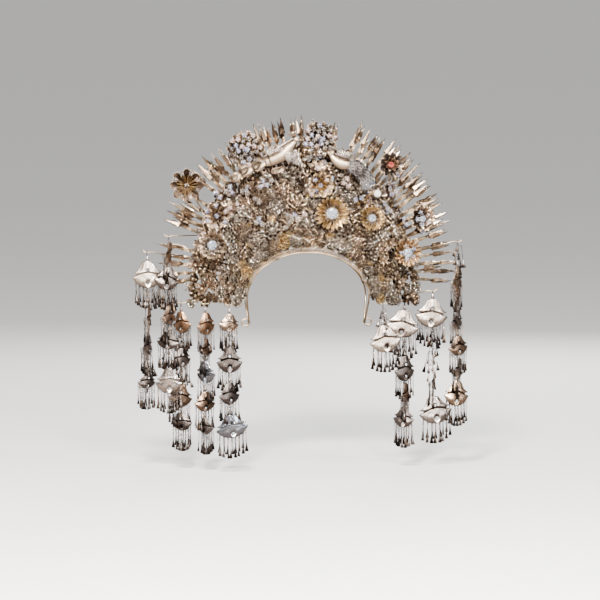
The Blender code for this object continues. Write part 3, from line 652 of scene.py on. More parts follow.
# Whorls of petals: count, reach, width, tilt upwards, curl, finish and rim finish; posies: count, reach, finish
rosetteStyles = {
    "sun": {
        "whorls": ((20, 1.0, 0.22, 0.10, 0.18, "ochre", "ochre"), (16, 0.72, 0.18, 0.42, 0.2, "ochre", "paleGilt")),
        "collar": "paleGilt",
    },
    "copperSun": {
        "whorls": ((16, 1.0, 0.30, 0.10, 0.18, "copper", "ochre"), (12, 0.74, 0.24, 0.42, 0.2, "umber", "ochre")),
        "posies": (5, 0.48, "bead"), "collar": "paleGilt",
    },
    "star": {
        "whorls": ((14, 1.0, 0.40, 0.08, 0.15, "umber", "gilt"), (12, 0.72, 0.30, 0.40, 0.2, "umber", "paleGilt")),
        "collar": "paleGilt",
    },
    "daisy": {
        "whorls": ((8, 1.0, 0.64, 0.14, 0.16, "brown", "gilt"), (16, 0.66, 0.07, 0.24, 0.3, "umber", "ochre")),
        "posies": (8, 0.72, "silver"), "veins": (-0.45, 0.0, 0.45), "tone": -0.2,
    },
    "leafPosy": {
        "whorls": ((9, 1.0, 0.66, 0.14, 0.2, "umber", "gilt"), (6, 0.6, 0.5, 0.5, 0.3, "umber", "gilt")),
        "posies": (6, 0.70, "bead"), "veins": (-0.4, 0.0, 0.4),
    },
    "posyCluster": {
        "whorls": (
            (14, 1.0, 0.40, 0.10, 0.24, "umber", "gilt"), (12, 0.78, 0.36, 0.5, 0.3, "umber", "paleGilt"),
            (8, 0.52, 0.36, 0.9, 0.3, "umber", "gilt"),
        ),
        "posies": (26, 0.86, "bead"), "veins": (0.0,), "tall": True,
    },
    "goldPosy": {
        "whorls": ((9, 1.0, 0.56, 0.12, 0.2, "umber", "ochre"), (6, 0.66, 0.46, 0.45, 0.2, "ochre", "ochre")),
        "posies": (4, 0.56, "bead"), "veins": (0.0,),
    },
    "darkCup": {
        "whorls": ((9, 1.0, 0.55, 0.18, 0.2, "greySilver", "gilt"), (8, 0.72, 0.42, 0.6, 0.2, "umber", "gilt")),
        "collar": "silver",
    },
    "leafCup": {
        "whorls": ((10, 1.0, 0.50, 0.14, 0.22, "umber", "gilt"), (8, 0.7, 0.42, 0.5, 0.2, "umber", "paleGilt")),
        "posies": (5, 0.45, "bead"), "collar": "silver",
    },
}


def rosettePlace(row):
    seat, _, _, facing = tierFrame(fan["rowTiers"][row["row"] - 1], row["angle"])
    centre = Vector((row["x"], seat.y - row["ahead"], row["z"]))
    look = (facing * setting["lean"] + Vector((0.0, -1.0, 0.0))).normalized()
    return seat + facing * 0.0013, centre, look


def addCollar(shape, place, radius, look):
    # a cup with a beaded wire round a stone
    height = setting["cup"]
    profile = (
        (0.0, 0.0), (radius * 0.9, 0.0), (radius * 1.02, height * 0.6), (radius * 1.0, height),
        (radius * 0.90, height), (radius * 0.88, height * 0.55), (0.0, height * 0.5),
    )
    addTurned(shape, profile, 20, place, look, 0.0)
    for turn in turns(max(14, round(math.tau * radius / setting["beadPitch"]))):
        addBead(shape, place @ at(around(turn, radius * 1.1, height * 0.35)), 0.0010, look, 0.15)
    for turn in turns(6, 0.5):
        foot, over = around(turn, radius * 0.99, height * 0.9), around(turn, radius * 0.80, height * 1.22)
        addCone(shape, place @ foot, place @ over, 0.0006, 0.0004, 5, look, 0.1)


def makeRosette(row):
    style = rosetteStyles[row["style"]]
    chance = random.Random(row["name"])
    seat, centre, facing = rosettePlace(row)
    place = facingAt(centre, facing)
    radius = row["radius"]
    shape = newShape()
    addCone(shape, seat, centre, setting["pin"], setting["pin"], 8, "wire")
    heart = ((0.0, -0.0012), (0.30, -0.0010), (0.36, 0.0), (0.28, 0.0012), (0.0, 0.0014))
    addTurned(shape, [(radius * reach, height) for reach, height in heart], 16, place, "brown")
    for number, (count, reach, width, tilt, curl, look, rimLook) in enumerate(style["whorls"]):
        plan = {
            "root": radius * 0.2 * reach, "length": radius * reach * 0.8, "width": radius * reach * width,
            "curl": curl, "fold": 0.55, "look": look, "rimLook": rimLook,
            "rimWire": 0.00034, "veins": style.get("veins", (0.0,) if count < 14 else ()),
        }
        petal = petalMesh("petal", plan)
        for turn in turns(count, 0.5 * number):
            turn += chance.uniform(-0.03, 0.03)
            lean = -tilt + chance.uniform(-0.10, 0.06)
            local = spinBy(turn) @ move(0, 0, 0.0008 + 0.0012 * number) @ spinBy(lean, "Y")
            stamp(shape, petal, place @ local, tone=style.get("tone", 0.0) + chance.uniform(-0.2, 0.2))
        drop(petal)
    tall, collar = style.get("tall"), style.get("collar")
    if "posies" in style:
        count, reach, look = style["posies"]
        kinds = (look, "silver", "silver", "blush") if tall else (look, look, look, "blush")
        for i in range(count):
            turn = math.tau * (i + 0.5) / count + chance.uniform(-0.1, 0.1)
            out, height = reach, radius * 0.30 + chance.uniform(0.0, 0.003)
            if tall:
                out = reach * math.sqrt((i + 0.5) / count)
                turn = goldenTurn * i
                height = radius * (0.30 + 0.35 * (1.0 - out * out)) + chance.uniform(0.0, 0.003)
            spot = around(turn, radius * out, height)
            tilted = place @ at(spot) @ spinBy(turn) @ spinBy(chance.uniform(0.1, 0.5), "Y")
            stamp(shape, posies[chance.choice(kinds)], tilted, tone=chance.uniform(-0.1, 0.1))
            addCone(shape, place @ Vector((0, 0, 0.001)), tilted.translation, 0.0004, 0.0004, 4, "wire")
        if not collar:
            stamp(shape, posies[look], place @ move(0, 0, radius * (0.42 if tall else 0.2)))
            addCone(shape, centre, place @ Vector((0, 0, radius * 0.4)), 0.0008, 0.0006, 6, "wire")
    if collar:
        girdle = stones[row["stone"]] + setting["gap"] + setting["wall"]
        addCollar(shape, place @ move(0, 0, setting["sink"]), girdle, collar)
    finishPiece(row["name"].replace("rosette", "flower"), shape, [row["name"]])


def makeStone(row):
    name = row["stone"]
    girdle = stones[name]
    _, centre, facing = rosettePlace(row)
    floor = centre + facing * (setting["sink"] + setting["cup"] * setting["floor"] + setting["gap"])
    place = facingAt(floor, facing)
    shape = newShape()
    if name == "pearl":
        verts = bmesh.ops.create_uvsphere(shape, u_segments=28, v_segments=18, radius=girdle)["verts"]
        settle(shape, verts, place @ move(0, 0, girdle), "pearl")
        finishPiece("pearlSet", shape, [name])
        return
    # circles of a brilliant cut, wrapped in facets
    for count, radius, height, turn in ((8, 0.66, 0.0, 0.5), (16, 1.0, 0.33, 0.0), (16, 1.0, 0.38, 0.0),
                                        (8, 0.84, 0.60, 0.5), (8, 0.56, 0.78, 0.0)):
        local = move(0, 0, girdle * height) @ spinBy(math.tau * turn / count)
        bmesh.ops.create_circle(shape, segments=count, radius=girdle * radius, matrix=local)
    bmesh.ops.convex_hull(shape, input=shape.verts)
    bmesh.ops.dissolve_limit(shape, angle_limit=0.01, verts=shape.verts, edges=shape.edges)
    settle(shape, shape.verts[:], place, "redStone" if name == "red_stone" else "clearStone", smooth=False)
    finishPiece(name + "_cut", shape, [name])


for row in rosettes:
    makeRosette(row)
    if row["stone"]:
        makeStone(row)
print("rosettes and stones made")

# Rows of florets, each on its own arched wire
rows = table(
    "node tier count first mix",
    ("laca_row", 0.6, 17, 0.5, ("domeGilt", "domePale", "domeGilt", "domeOchre", "loopGilt")),
    ("flower_row_1", 1.45, 13, 0.5, ("domeGilt", "domePale", "loopPale", "domeGilt")),
    ("flower_row_2", 2.3, 14, 0.25, ("domePale", "loopGilt", "domeGilt", "leafBlush", "domePale")),
    ("flower_row_3", 3.15, 13, 0.5, ("domePale", "leafBrown", "loopPale", "domeGilt", "leafGilt")),
    ("flower_row_4", 4.0, 14, 0.25, ("leafBrown", "domeGilt", "leafBlush", "loopPale", "leafGilt")),
    ("flower_row_5", 4.85, 13, 0.5, ("leafBrown", "loopGilt", "leafGilt", "domePale", "leafBlush")),
)


# What grows in the gaps: least and most radius and how often a place is tried
fill = {
    "passes": ((0.0070, 0.0094, 2400), (0.0048, 0.0070, 3400), (0.0028, 0.0048, 6500)),
    "overlap": 0.72, "tiers": (0.34, 5.1), "ends": 3.0,
    "inner": ("dome", "dome", "domePale", "domePale", "domeOchre", "loop"),
    "middle": ("dome", "domePale", "domePale", "loop", "leaf"),
    "outer": ("domePale", "loop", "leaf", "leaf", "dome"),
}


def rowSpots(row):
    # angle and radius of each floret that a row carries
    tier, count, first = row["tier"], row["count"], row["first"]
    pins = [other["angle"] for other in rosettes if fan["rowTiers"][other["row"] - 1] == tier]
    turnStep = 180.0 / (count - 1 + 2 * first)
    spots = []
    for i in range(count):
        degrees = turnStep * (i + first)
        along = math.radians(1.0) * tierArc(tier, degrees)
        size = 0.47 * min(along * turnStep, fan["rowGap"] * tierStep(degrees))
        if not any(abs(degrees - pin) * along < size * 0.5 for pin in pins):
            spots.append((degrees, size * 1.2))
    return spots


def planFill():
    # smaller florets wherever there is room, on the nearest row
    chance = random.Random(21)
    taken = []
    for row in rows:
        for degrees, radius in rowSpots(row):
            point = tierFrame(row["tier"], degrees)[0]
            taken.append((point.x, point.z, radius * fill["overlap"]))
    filled = {row["node"]: [] for row in rows}
    for least, most, tries in fill["passes"]:
        for _ in range(tries):
            tier = chance.uniform(*fill["tiers"])
            degrees = chance.uniform(-fill["ends"], 180.0 + fill["ends"])
            point = tierFrame(tier, degrees)[0]
            room = min(math.hypot(point.x - x, point.z - z) - radius for x, z, radius in taken)
            if room < least * fill["overlap"]:
                continue
            radius = min(most, room / fill["overlap"])
            taken.append((point.x, point.z, radius * fill["overlap"]))
            nearest = min(rows, key=lambda row: abs(row["tier"] - tier))
            filled[nearest["node"]].append((tier, degrees, radius))
    return filled


def addFloret(shape, row, tier, degrees, radius, ahead, chance):
    point, tangent, _, facing = tierFrame(tier, degrees)
    tilt = Vector((chance.uniform(-0.28, 0.28), -0.22, chance.uniform(-0.28, 0.28)))
    spot = point + facing * ahead
    place = facingAt(spot, facing + tilt, tangent) @ spinBy(chance.uniform(0.0, math.tau))
    tone = chance.uniform(-0.32, 0.3)
    # the backing sheet reaches past the floret, so the gaps round it show its painted shade
    reach = radius * (1.18 if 0.5 < tier < 4.4 and 4.0 < degrees < 176.0 else 0.8)
    backing = backings[radius > floretFrom["ringed"]]
    stamp(shape, backing, place @ move(0, 0, -0.0026) @ sized(reach, reach, 0.011))
    if radius > floretFrom["big"]:
        stamp(shape, bigFlorets[chance.choice(row["mix"])], place @ grown(radius / floretSize["big"]), tone=tone)
    elif radius > floretFrom["small"]:
        kind = chance.choice(fill["inner"] if tier < 2.0 else fill["middle"] if tier < 3.4 else fill["outer"])
        stamp(shape, smallFlorets[kind], place @ grown(radius * 1.05 / floretSize["small"]), tone=tone)
    elif tier > 2.2 and chance.random() < 0.08:
        kind = chance.choice(("bead", "bead", "silver", "blush"))
        stamp(shape, posies[kind], place @ move(0, 0, 0.003) @ grown(radius / floretSize["posy"]))
    else:
        kind = chance.choice(("gilt", "paleGilt", "ochre", "gilt"))
        stamp(shape, chance.choice(granules[kind]), place @ grown(radius / floretSize["granule"]), tone=tone)
    root = tierFrame(row["tier"], min(180.0, max(0.0, degrees)))[0]
    addCone(shape, root, spot, stemWire["floret"], stemWire["floret"], 4, "wire")


def makeRow(row, filled):
    chance = random.Random(row["node"])
    tier = row["tier"]
    shape = newShape()
    wire = [tierFrame(tier, 180.0 * i / 60)[0] for i in range(61)]
    addWires(shape, [wire], fan["rowWire"], "wire", fineness=1)
    for degrees, radius in rowSpots(row):
        addFloret(shape, row, tier, degrees, radius, 0.0040, chance)
    for spotTier, degrees, radius in filled:
        addFloret(shape, row, spotTier, degrees, radius, chance.uniform(0.0008, 0.0038), chance)
    if tier < 1.0:
        addArchTrim(shape, chance)
    finishPiece(row["node"].replace("_", ""), shape, [row["node"]])


def addArchTrim(shape, chance):
    # small ring granules that follow the head arch under the lowest florets
    for tier, count, size in ((0.13, 58, 0.85), (0.27, 54, 1.0)):
        for i in range(count):
            degrees = 2.0 + 176.0 * (i + chance.uniform(-0.15, 0.15) + 0.5) / count
            point, tangent, _, facing = tierFrame(tier, degrees)
            place = facingAt(point + facing * chance.uniform(0.001, 0.0035), facing, tangent)
            place = place @ spinBy(chance.uniform(-0.4, 0.4), "X") @ grown(size)
            granule = chance.choice(granules[chance.choice(("gilt", "gilt", "ochre", "paleGilt"))])
            stamp(shape, granule, place, tone=chance.uniform(-0.25, 0.15))
        strip = [tierFrame(tier, 2.0 + 176.0 * i / 48)[0] for i in range(49)]
        addWires(shape, [strip], stemWire["floret"], "wire")
    ties = [[tierFrame(0.13, d)[0], tierFrame(0.6, d)[0]] for d in range(6, 178, 7)]
    addWires(shape, ties, stemWire["floret"], "wire")


filledRows = planFill()
for row in rows:
    makeRow(row, filledRows[row["node"]])
print("flower rows made")

# Bead posies and small flowers on long stems in front of the rows
looseFlowers = table(
    "x z kind leaf",
    (-0.1205, 0.0735, "bead", None), (-0.1010, 0.0830, "bead", "leafBrown"),
    (-0.0805, 0.0845, "silver", "leafBrown"), (-0.0587, 0.0900, "bead", "leafBlush"),
    (-0.0641, 0.0723, "blush", None), (-0.0641, 0.0409, "bead", "leafBrown"),
    (-0.0232, 0.0505, "bead", "leafBlush"), (-0.0082, 0.0477, "blush", None), (-0.0259, 0.0355, "silver", None),
    (-0.1037, 0.0450, "blush", None), (0.0300, 0.0960, "bead", "leafBrown"), (0.0055, 0.1295, "silver", None),
    (0.0205, 0.1330, "bead", "leafBrown"), (0.0109, 0.0791, "blush", None), (0.0955, 0.0777, "silver", None),
    (0.1240, 0.1078, "bead", "leafBrown"), (0.1173, 0.0860, "silver", "leafBrown"),
    (0.1240, 0.0760, "bead", None), (0.1105, 0.0614, "bead", None), (0.1215, 0.0505, "silver", "leafGilt"),
    (0.1378, 0.0395, "bead", None), (0.1570, 0.0300, "bead", "leafBrown"), (0.0930, 0.0655, "silver", None),
    (-0.1400, 0.0300, "blush", None), (-0.0460, 0.1010, "silver", None), (0.0560, 0.0930, "blush", "leafGilt"),
    (0.0700, 0.0730, "bead", None),
)


def fanSpot(x, z):
    # the tier and angle that lie at x and z
    low, high = 0.0, 7.0
    for _ in range(30):
        tier = (low + high) / 2
        across, rise = tierHalf(tier)
        u, v = x / across, (z + fan["riseAtCrown"]) / rise
        low, high = (tier, high) if u * u + v * v > 1.0 else (low, tier)
    return tier, math.degrees(math.atan2(v, u))


def makeLooseFlowers():
    chance = random.Random(5)
    shape = newShape()
    for flower in looseFlowers:
        tier, degrees = fanSpot(flower["x"], flower["z"])
        root, _, _, facing = tierFrame(min(tier, fan["rimTier"]), degrees)
        spot = Vector((flower["x"], root.y - chance.uniform(0.008, 0.012), flower["z"]))
        lean = facing + Vector((chance.uniform(-0.3, 0.3), -0.8, chance.uniform(-0.2, 0.3)))
        place = facingAt(spot, lean) @ spinBy(chance.uniform(0.0, math.tau))
        if flower["leaf"]:
            stamp(shape, bigFlorets[flower["leaf"]], place @ grown(0.74), tone=chance.uniform(-0.3, 0.1))
        for i in range(3 if flower["leaf"] else 2):
            turn = math.tau * i / 3 + chance.uniform(-0.4, 0.4)
            tip = place @ around(turn, 0.0052, 0.0052 + chance.uniform(0.0, 0.002))
            kind = flower["kind"] if chance.random() < 0.75 else "silver"
            stamp(shape, posies[kind], facingAt(tip, lean + Vector((math.cos(turn), 0, math.sin(turn))) * 0.5))
            addCone(shape, root, tip, stemWire["fine"], stemWire["fine"], 4, "wire")
        addCone(shape, root, spot, stemWire["stout"], stemWire["stout"], 5, "wire")
    finishPiece("looseFlowers", shape)


makeLooseFlowers()
print("loose flowers made")

# Head arch and the fan's wires
arch = {
    "wire": 0.0012, "depth": 0.038, "endDepth": 0.003, "leg": 0.034, "lean": 0.004, "loop": 0.0047,
    "ties": (20.0, 60.0, 120.0, 160.0), "tieWire": 0.0009, "steps": 48,
    "legSteps": ((1.0, 1.0, 0.0), (0.72, 0.72, 0.25), (0.4, 0.5, 0.5), (0.12, 0.18, 0.78)),
}


def archLine(depth, endDepth):
    across = fan["halfWidth"] + arch["wire"]
    rise = fan["riseAtCrown"] + arch["wire"]
    foot = -fan["riseAtCrown"] - arch["leg"]
    leg = [
        Vector((across - arch["lean"] * lean, endDepth * end + depth * (1.0 - end), foot + arch["leg"] * up))
        for lean, end, up in arch["legSteps"]
    ]
    turns = [math.pi * i / arch["steps"] for i in range(arch["steps"] + 1)]
    bow = [Vector((across * math.cos(t), depth, -fan["riseAtCrown"] + rise * math.sin(t))) for t in turns]
    return leg + bow + [Vector((-spot.x, spot.y, spot.z)) for spot in reversed(leg)]


def makeHeadFrame():
    shape = newShape()
    front = behind(0.0, 90.0, fan["wireBehind"]).y
    rear = front + arch["depth"]
    middle = (front + rear) / 2
    frontWire = archLine(front, middle - arch["endDepth"])
    rearWire = archLine(rear, middle + arch["endDepth"])
    addWires(shape, [frontWire, rearWire], arch["wire"], "wire", 0.1, fineness=2)
    ties, wraps = [], []
    for degrees in arch["ties"]:
        turn = math.radians(degrees)
        x = (fan["halfWidth"] + arch["wire"]) * math.cos(turn)
        z = -fan["riseAtCrown"] + (fan["riseAtCrown"] + arch["wire"]) * math.sin(turn)
        ties.append([Vector((x, front, z)), Vector((x, rear, z))])
        for depth, wire in ((front, frontWire), (rear, rearWire)):
            near = min(range(len(wire)), key=lambda i: (wire[i] - Vector((x, depth, z))).length)
            wraps.append((wire[near], (wire[near + 1] - wire[near - 1]).normalized()))
    addWires(shape, ties, arch["tieWire"], "wire", fineness=1)
    for spot, along in wraps:
        for i in range(-3, 4):
            place = facingAt(spot + along * (0.00085 * i), along)
            stamp(shape, jumpRing, place @ sized(0.95, 0.95, 1.0), "wire", 0.1)
    foot = -fan["riseAtCrown"] - arch["leg"]
    for side in (-1.0, 1.0):
        x = side * (fan["halfWidth"] + arch["wire"] - arch["lean"])
        ends = [Vector((x, middle + s * (arch["endDepth"] + arch["wire"]), foot)) for s in (-1.0, 1.0)]
        addCone(shape, ends[0], ends[1], 0.0017, 0.0017, 12, "wire")
        centre = Vector((x + side * arch["loop"], middle, foot))
        loop = [centre + faceOn @ around(turn, arch["loop"]) for turn in turns(24)]
        addWires(shape, [loop], arch["wire"], "wire", 0.1, fineness=2, cyclic=True)
    finishPiece("headArch", shape, ["head_frame"])


strings = table(
    "name tier angle x y z",
    ("pendant_left_1", 5.15, 166.0, -0.216, 0.014, 0.000),
    ("pendant_left_2", 5.15, 156.0, -0.187, 0.010, 0.022),
    ("pendant_left_3", 5.0, 180.0, -0.169, 0.026, -0.070),
    ("pendant_left_4", 3.6, 180.0, -0.138, 0.004, -0.070),
    ("pendant_left_5", 1.4, 180.0, -0.107, -0.022, -0.070),
    ("pendant_right_inner", 1.3, 0.0, 0.103, -0.022, -0.070),
    ("pendant_right_2", 3.8, 0.0, 0.138, 0.018, -0.070),
    ("pendant_right_3", 5.1, 0.0, 0.178, 0.026, -0.056),
    ("pendant_right_4", 5.15, 16.0, 0.211, 0.018, 0.012),
)
# A hook's bend goes from its root under the ring and up again, in half widths
hook = {
    "wire": 0.0008, "half": 0.0034,
    "bend": ((-1.6, 0.15), (-1.0, 0.0), (0.0, 0.0), (1.0, 0.0), (1.35, 0.35), (1.5, 1.0)),
}


def makeFanFrame():
    shape = newShape()
    offset = fan["wireBehind"]
    hoop = [behind(fan["rimTier"], 180.0 * i / 60, offset) for i in range(61)]
    addWires(shape, [hoop], fan["hoopWire"], "wire", fineness=1)
    spokes = []
    for i in range(fan["spokes"]):
        degrees = 180.0 * i / (fan["spokes"] - 1)
        turn = math.radians(degrees)
        lean = tierFrame(0.0, degrees)[2].y
        clear = 2.0 * arch["wire"] + 0.0003 + (0.0009 + offset) * lean
        footTier = clear / math.hypot(fan["across"] * math.cos(turn), fan["rise"] * math.sin(turn))
        spokes.append([behind(footTier, degrees, offset), behind(fan["rimTier"], degrees, offset)])
        foot, top = spokes[-1]
        stamp(shape, jumpRing, facingAt(top, top - foot) @ sized(1.0, 1.0, 1.5), "wire")
        for tier in fan["rowTiers"]:
            joint = facingAt(behind(tier, degrees, offset * 0.5), tierFrame(tier, degrees)[1])
            stamp(shape, jumpRing, joint @ sized(0.9, 1.25, 1.2), "wire", 0.1)
    addWires(shape, spokes, fan["spokeWire"], "wire", fineness=1)
    hooks = []
    for row in strings:
        root = behind(row["tier"], row["angle"], offset)
        hang = Vector((row["x"], row["y"], row["z"]))
        side = math.copysign(1.0, row["x"])
        bend = [hang + Vector((side * a * hook["half"], 0.0, b * hook["half"])) for a, b in hook["bend"]]
        hooks.append([root] + bend)
    addWires(shape, hooks, hook["wire"], "wire", 0.1, fineness=1)
    finishPiece("fanWires", shape, ["fan_frame"])


makeHeadFrame()
makeFanFrame()
print("arch and fan wires made")

# Pointed buds on springy wires round the rim
budPlan = {
    "length": 0.0262, "radius": 0.0039, "tipCircle": 0.203, "centreHeight": -0.018,
    "stem": 0.0005, "stripWire": 0.0009, "gap": 0.0003,
}
sprays = table(
    "name from to buds longer",
    ("spray_right_low", -7.0, 8.0, 5, 0.008),
    ("spray_right_middle", 12.0, 27.0, 5, 0.008),
    ("spray_right_upper", 31.0, 46.0, 6, 0.008),
    ("spray_top_right", 50.0, 67.0, 6, 0.008),
    ("spray_top_centre", 77.0, 95.0, 5),
    ("spray_top_left", 99.0, 117.0, 6),
    ("spray_left_upper", 123.0, 140.0, 6),
    ("spray_left_middle", 148.0, 162.0, 5),
    ("spray_left_low", 172.0, 187.0, 5),
)


def budMesh():
    shape = newShape()
    size, length = budPlan["radius"], budPlan["length"]
    profile = (
        (0.0, 0.0), (size * 0.55, 0.0004), (size, length * 0.12), (size * 0.72, length * 0.36),
        (size * 0.36, length * 0.68), (0.0, length),
    )
    addTurned(shape, profile, 4, Matrix(), "gilt", -0.02, False)
    for turn in turns(4):
        place = spinBy(turn) @ move(size * 0.82, 0, length * 0.10)
        addBead(shape, place, 0.0011, "gilt", 0.2)
        knee, tip = spinBy(turn) @ Vector((size * 0.76, 0, length * 0.36)), Vector((0, 0, length))
        addCone(shape, place.translation, knee, 0.0005, 0.00045, 3, "paleGilt", 0.3)
        addCone(shape, knee, tip, 0.00045, 0.0002, 3, "paleGilt", 0.3)
    for height, radius in ((-0.0006, 0.34), (-0.0021, 0.28)):
        stamp(shape, jumpRing, move(0, 0, height) @ sized(radius * 2.0, radius * 2.0, 1.5), "gilt", 0.1)
    return asMesh(shape, "bud")


def rimAngle(circleDegrees):
    turn = math.radians(circleDegrees)
    across, rise = tierHalf(fan["rimTier"])
    reach = 0.8 * budPlan["tipCircle"]
    x = reach * math.cos(turn)
    z = budPlan["centreHeight"] + reach * math.sin(turn)
    return math.degrees(math.atan2((z + fan["riseAtCrown"]) / rise, x / across))


def makeSpray(row, bud):
    # one or two more buds, shorter, stand beside each bud
    chance = random.Random(row["name"])
    offset = fan["wireBehind"] + fan["hoopWire"] + budPlan["stripWire"] + budPlan["gap"]
    first, last = rimAngle(row["from"]), rimAngle(row["to"])

    def rootAt(share):
        return behind(fan["rimTier"], first + (last - first) * share, offset)

    def tipAt(share, reach, depth):
        turn = math.radians(row["from"] + (row["to"] - row["from"]) * share)
        return Vector((reach * math.cos(turn), depth, budPlan["centreHeight"] + reach * math.sin(turn)))

    longest = budPlan["tipCircle"] + row.get("longer", 0.0)
    strip = [rootAt(i / 10 * 1.2 - 0.1) for i in range(11)]
    shape = newShape()
    addWires(shape, [strip], budPlan["stripWire"], "wire", fineness=1)
    places = []
    for i in range(row["buds"]):
        share = i / (row["buds"] - 1)
        root = rootAt(share)
        reach = longest + chance.uniform(-0.006, 0.003)
        places.append((share, root, tipAt(share, reach, root.y + chance.uniform(-0.010, 0.012))))
    for share, root, _ in list(places):
        for _ in range(2 if chance.random() < 0.55 else 1):
            sideShare = min(1.05, max(-0.05, share + chance.uniform(-0.13, 0.13)))
            reach = longest + chance.uniform(-0.020, -0.002)
            places.append((sideShare, root, tipAt(sideShare, reach, root.y + chance.uniform(-0.012, 0.014))))
    stems = []
    for _, root, tip in places:
        along = (tip - root).normalized()
        collar = tip - along * budPlan["length"]
        stamp(shape, bud, facingAt(collar, along) @ spinBy(chance.uniform(0, 1.2)), tone=chance.uniform(-0.3, 0.2))
        side = along.cross(Vector((0, 1, 0))).normalized()
        for way in (-1.0, 1.0, 0.0):
            bow = side * (way * 0.0018) + Vector((0, way * 0.0012, 0))
            stems.append([root + bow * 0.6, root.lerp(collar, 0.5) + bow, collar])
    addWires(shape, stems, budPlan["stem"], "wire", 0.1)
    finishPiece(row["name"].replace("_", ""), shape, [row["name"]])


bud = budMesh()
for row in sprays:
    makeSpray(row, bud)
print("bud sprays made")

# Bell plates on lengths of chain: how far the top is below the string's ring, width, height, turn, finish, tone
# and roll. The small dark ones hang turned between the main ones.
bellKeys = "down width height yaw look tone roll"
bells = {
    "pendant_left_1": (
        (0.012, 0.040, 0.036, 0.0, "cream", 0.3), (0.074, 0.024, 0.026, 82.0, "brown", -0.1),
        (0.112, 0.034, 0.028, 65.0, "greySilver", 0.1), (0.164, 0.030, 0.022, 35.0, "greySilver", -0.1),
    ),
    "pendant_left_2": (
        (0.008, 0.026, 0.028, 72.0, "brown", 0.0), (0.042, 0.034, 0.031, 10.0, "greySilver", 0.0, 10.0),
        (0.094, 0.030, 0.026, 48.0, "brown", -0.1), (0.130, 0.031, 0.024, -20.0, "greySilver", -0.3),
        (0.180, 0.036, 0.034, 0.0, "silver", 0.1),
    ),
    "pendant_left_3": (
        (0.012, 0.030, 0.029, -40.0, "copper", 0.1), (0.062, 0.028, 0.026, 25.0, "greySilver", 0.0),
        (0.112, 0.033, 0.031, 5.0, "brown", 0.0), (0.150, 0.030, 0.025, -30.0, "greySilver", -0.2),
    ),
    "pendant_left_4": (
        (0.012, 0.030, 0.030, 35.0, "copper", 0.0), (0.048, 0.026, 0.023, 62.0, "brown", 0.0),
        (0.078, 0.032, 0.030, -45.0, "blueSilver", 0.4), (0.120, 0.030, 0.027, 20.0, "brown", 0.1),
        (0.156, 0.028, 0.022, -50.0, "greySilver", -0.1),
    ),
    "pendant_left_5": (
        (0.012, 0.028, 0.024, 15.0, "umber", 0.1), (0.058, 0.034, 0.034, 0.0, "greySilver", -0.2),
        (0.106, 0.034, 0.029, 32.0, "greySilver", -0.25), (0.150, 0.043, 0.031, 0.0, "blueSilver", 0.4, -6.0),
    ),
    "pendant_right_inner": (
        (0.030, 0.042, 0.036, 0.0, "cream", -0.1, -5.0),
    ),
    "pendant_right_2": (
        (0.012, 0.046, 0.037, 0.0, "cream", -0.15, 6.0), (0.075, 0.031, 0.034, 25.0, "greySilver", -0.2),
        (0.112, 0.028, 0.026, 66.0, "brown", -0.1), (0.145, 0.028, 0.028, -15.0, "greySilver", -0.1),
    ),
    "pendant_right_3": (
        (0.012, 0.043, 0.038, 0.0, "cream", -0.05, 9.0), (0.112, 0.020, 0.022, 78.0, "greySilver", 0.0),
        (0.146, 0.044, 0.037, 0.0, "silver", -0.2, -9.0),
    ),
    "pendant_right_4": (
        (0.034, 0.034, 0.036, 60.0, "umber", 0.0), (0.066, 0.024, 0.022, 80.0, "brown", 0.1),
        (0.096, 0.028, 0.024, 50.0, "greySilver", 0.1), (0.130, 0.030, 0.026, 24.0, "brown", 0.0),
        (0.160, 0.028, 0.025, 70.0, "greySilver", 0.1), (0.192, 0.034, 0.034, 10.0, "umber", 0.1),
    ),
}
bellPlan = {
    "width": 0.040, "height": 0.036, "thick": 0.0006, "bow": 0.0040, "hole": 0.0022, "holes": (0.67, 0.22),
    "outline": ((1.0, 0.14), (0.975, 0.28), (0.94, 0.36), (0.88, 0.43), (0.80, 0.49), (0.73, 0.56), (0.67, 0.64),
                (0.61, 0.74), (0.56, 0.88), (0.52, 0.98), (0.475, 0.78), (0.445, 0.72), (0.415, 0.84), (0.38, 1.06),
                (0.32, 1.0), (0.25, 0.91), (0.17, 0.79), (0.10, 0.66), (0.04, 0.48), (0.0, 0.22)),
    "lip": 0.46, "lipLift": 0.15, "lipReach": 0.13, "step": 0.0013, "flute": 0.0008,
    "chased": (
        ((0.30, 0.93), (0.34, 0.80), (0.50, 0.66), (0.74, 0.57)),
        ((0.14, 0.86), (0.18, 0.74), (0.34, 0.62), (0.52, 0.55)),
        ((0.15, 0.42), (0.30, 0.34), (0.34, 0.20), (0.20, 0.08)),
        ((0.40, 0.44), (0.56, 0.34), (0.60, 0.22)), ((0.62, 0.43), (0.80, 0.36), (0.84, 0.30)),
    ),
    "granules": ((0.58, 0.58), (0.40, 0.66), (0.30, 0.77), (0.66, 0.40), (0.42, 0.36), (0.24, 0.40)),
}
chainPlan = {"pitch": 0.0033, "dressed": 0.022, "tasselEvery": 0.0036, "beaded": 0.0065}
linkMesh = ringMesh("link", 0.0011, 0.00036, 8, 3, "greySilver")
dropRing = ringMesh("dropRing", 0.0016, 0.00038, 8, 3, "greySilver")


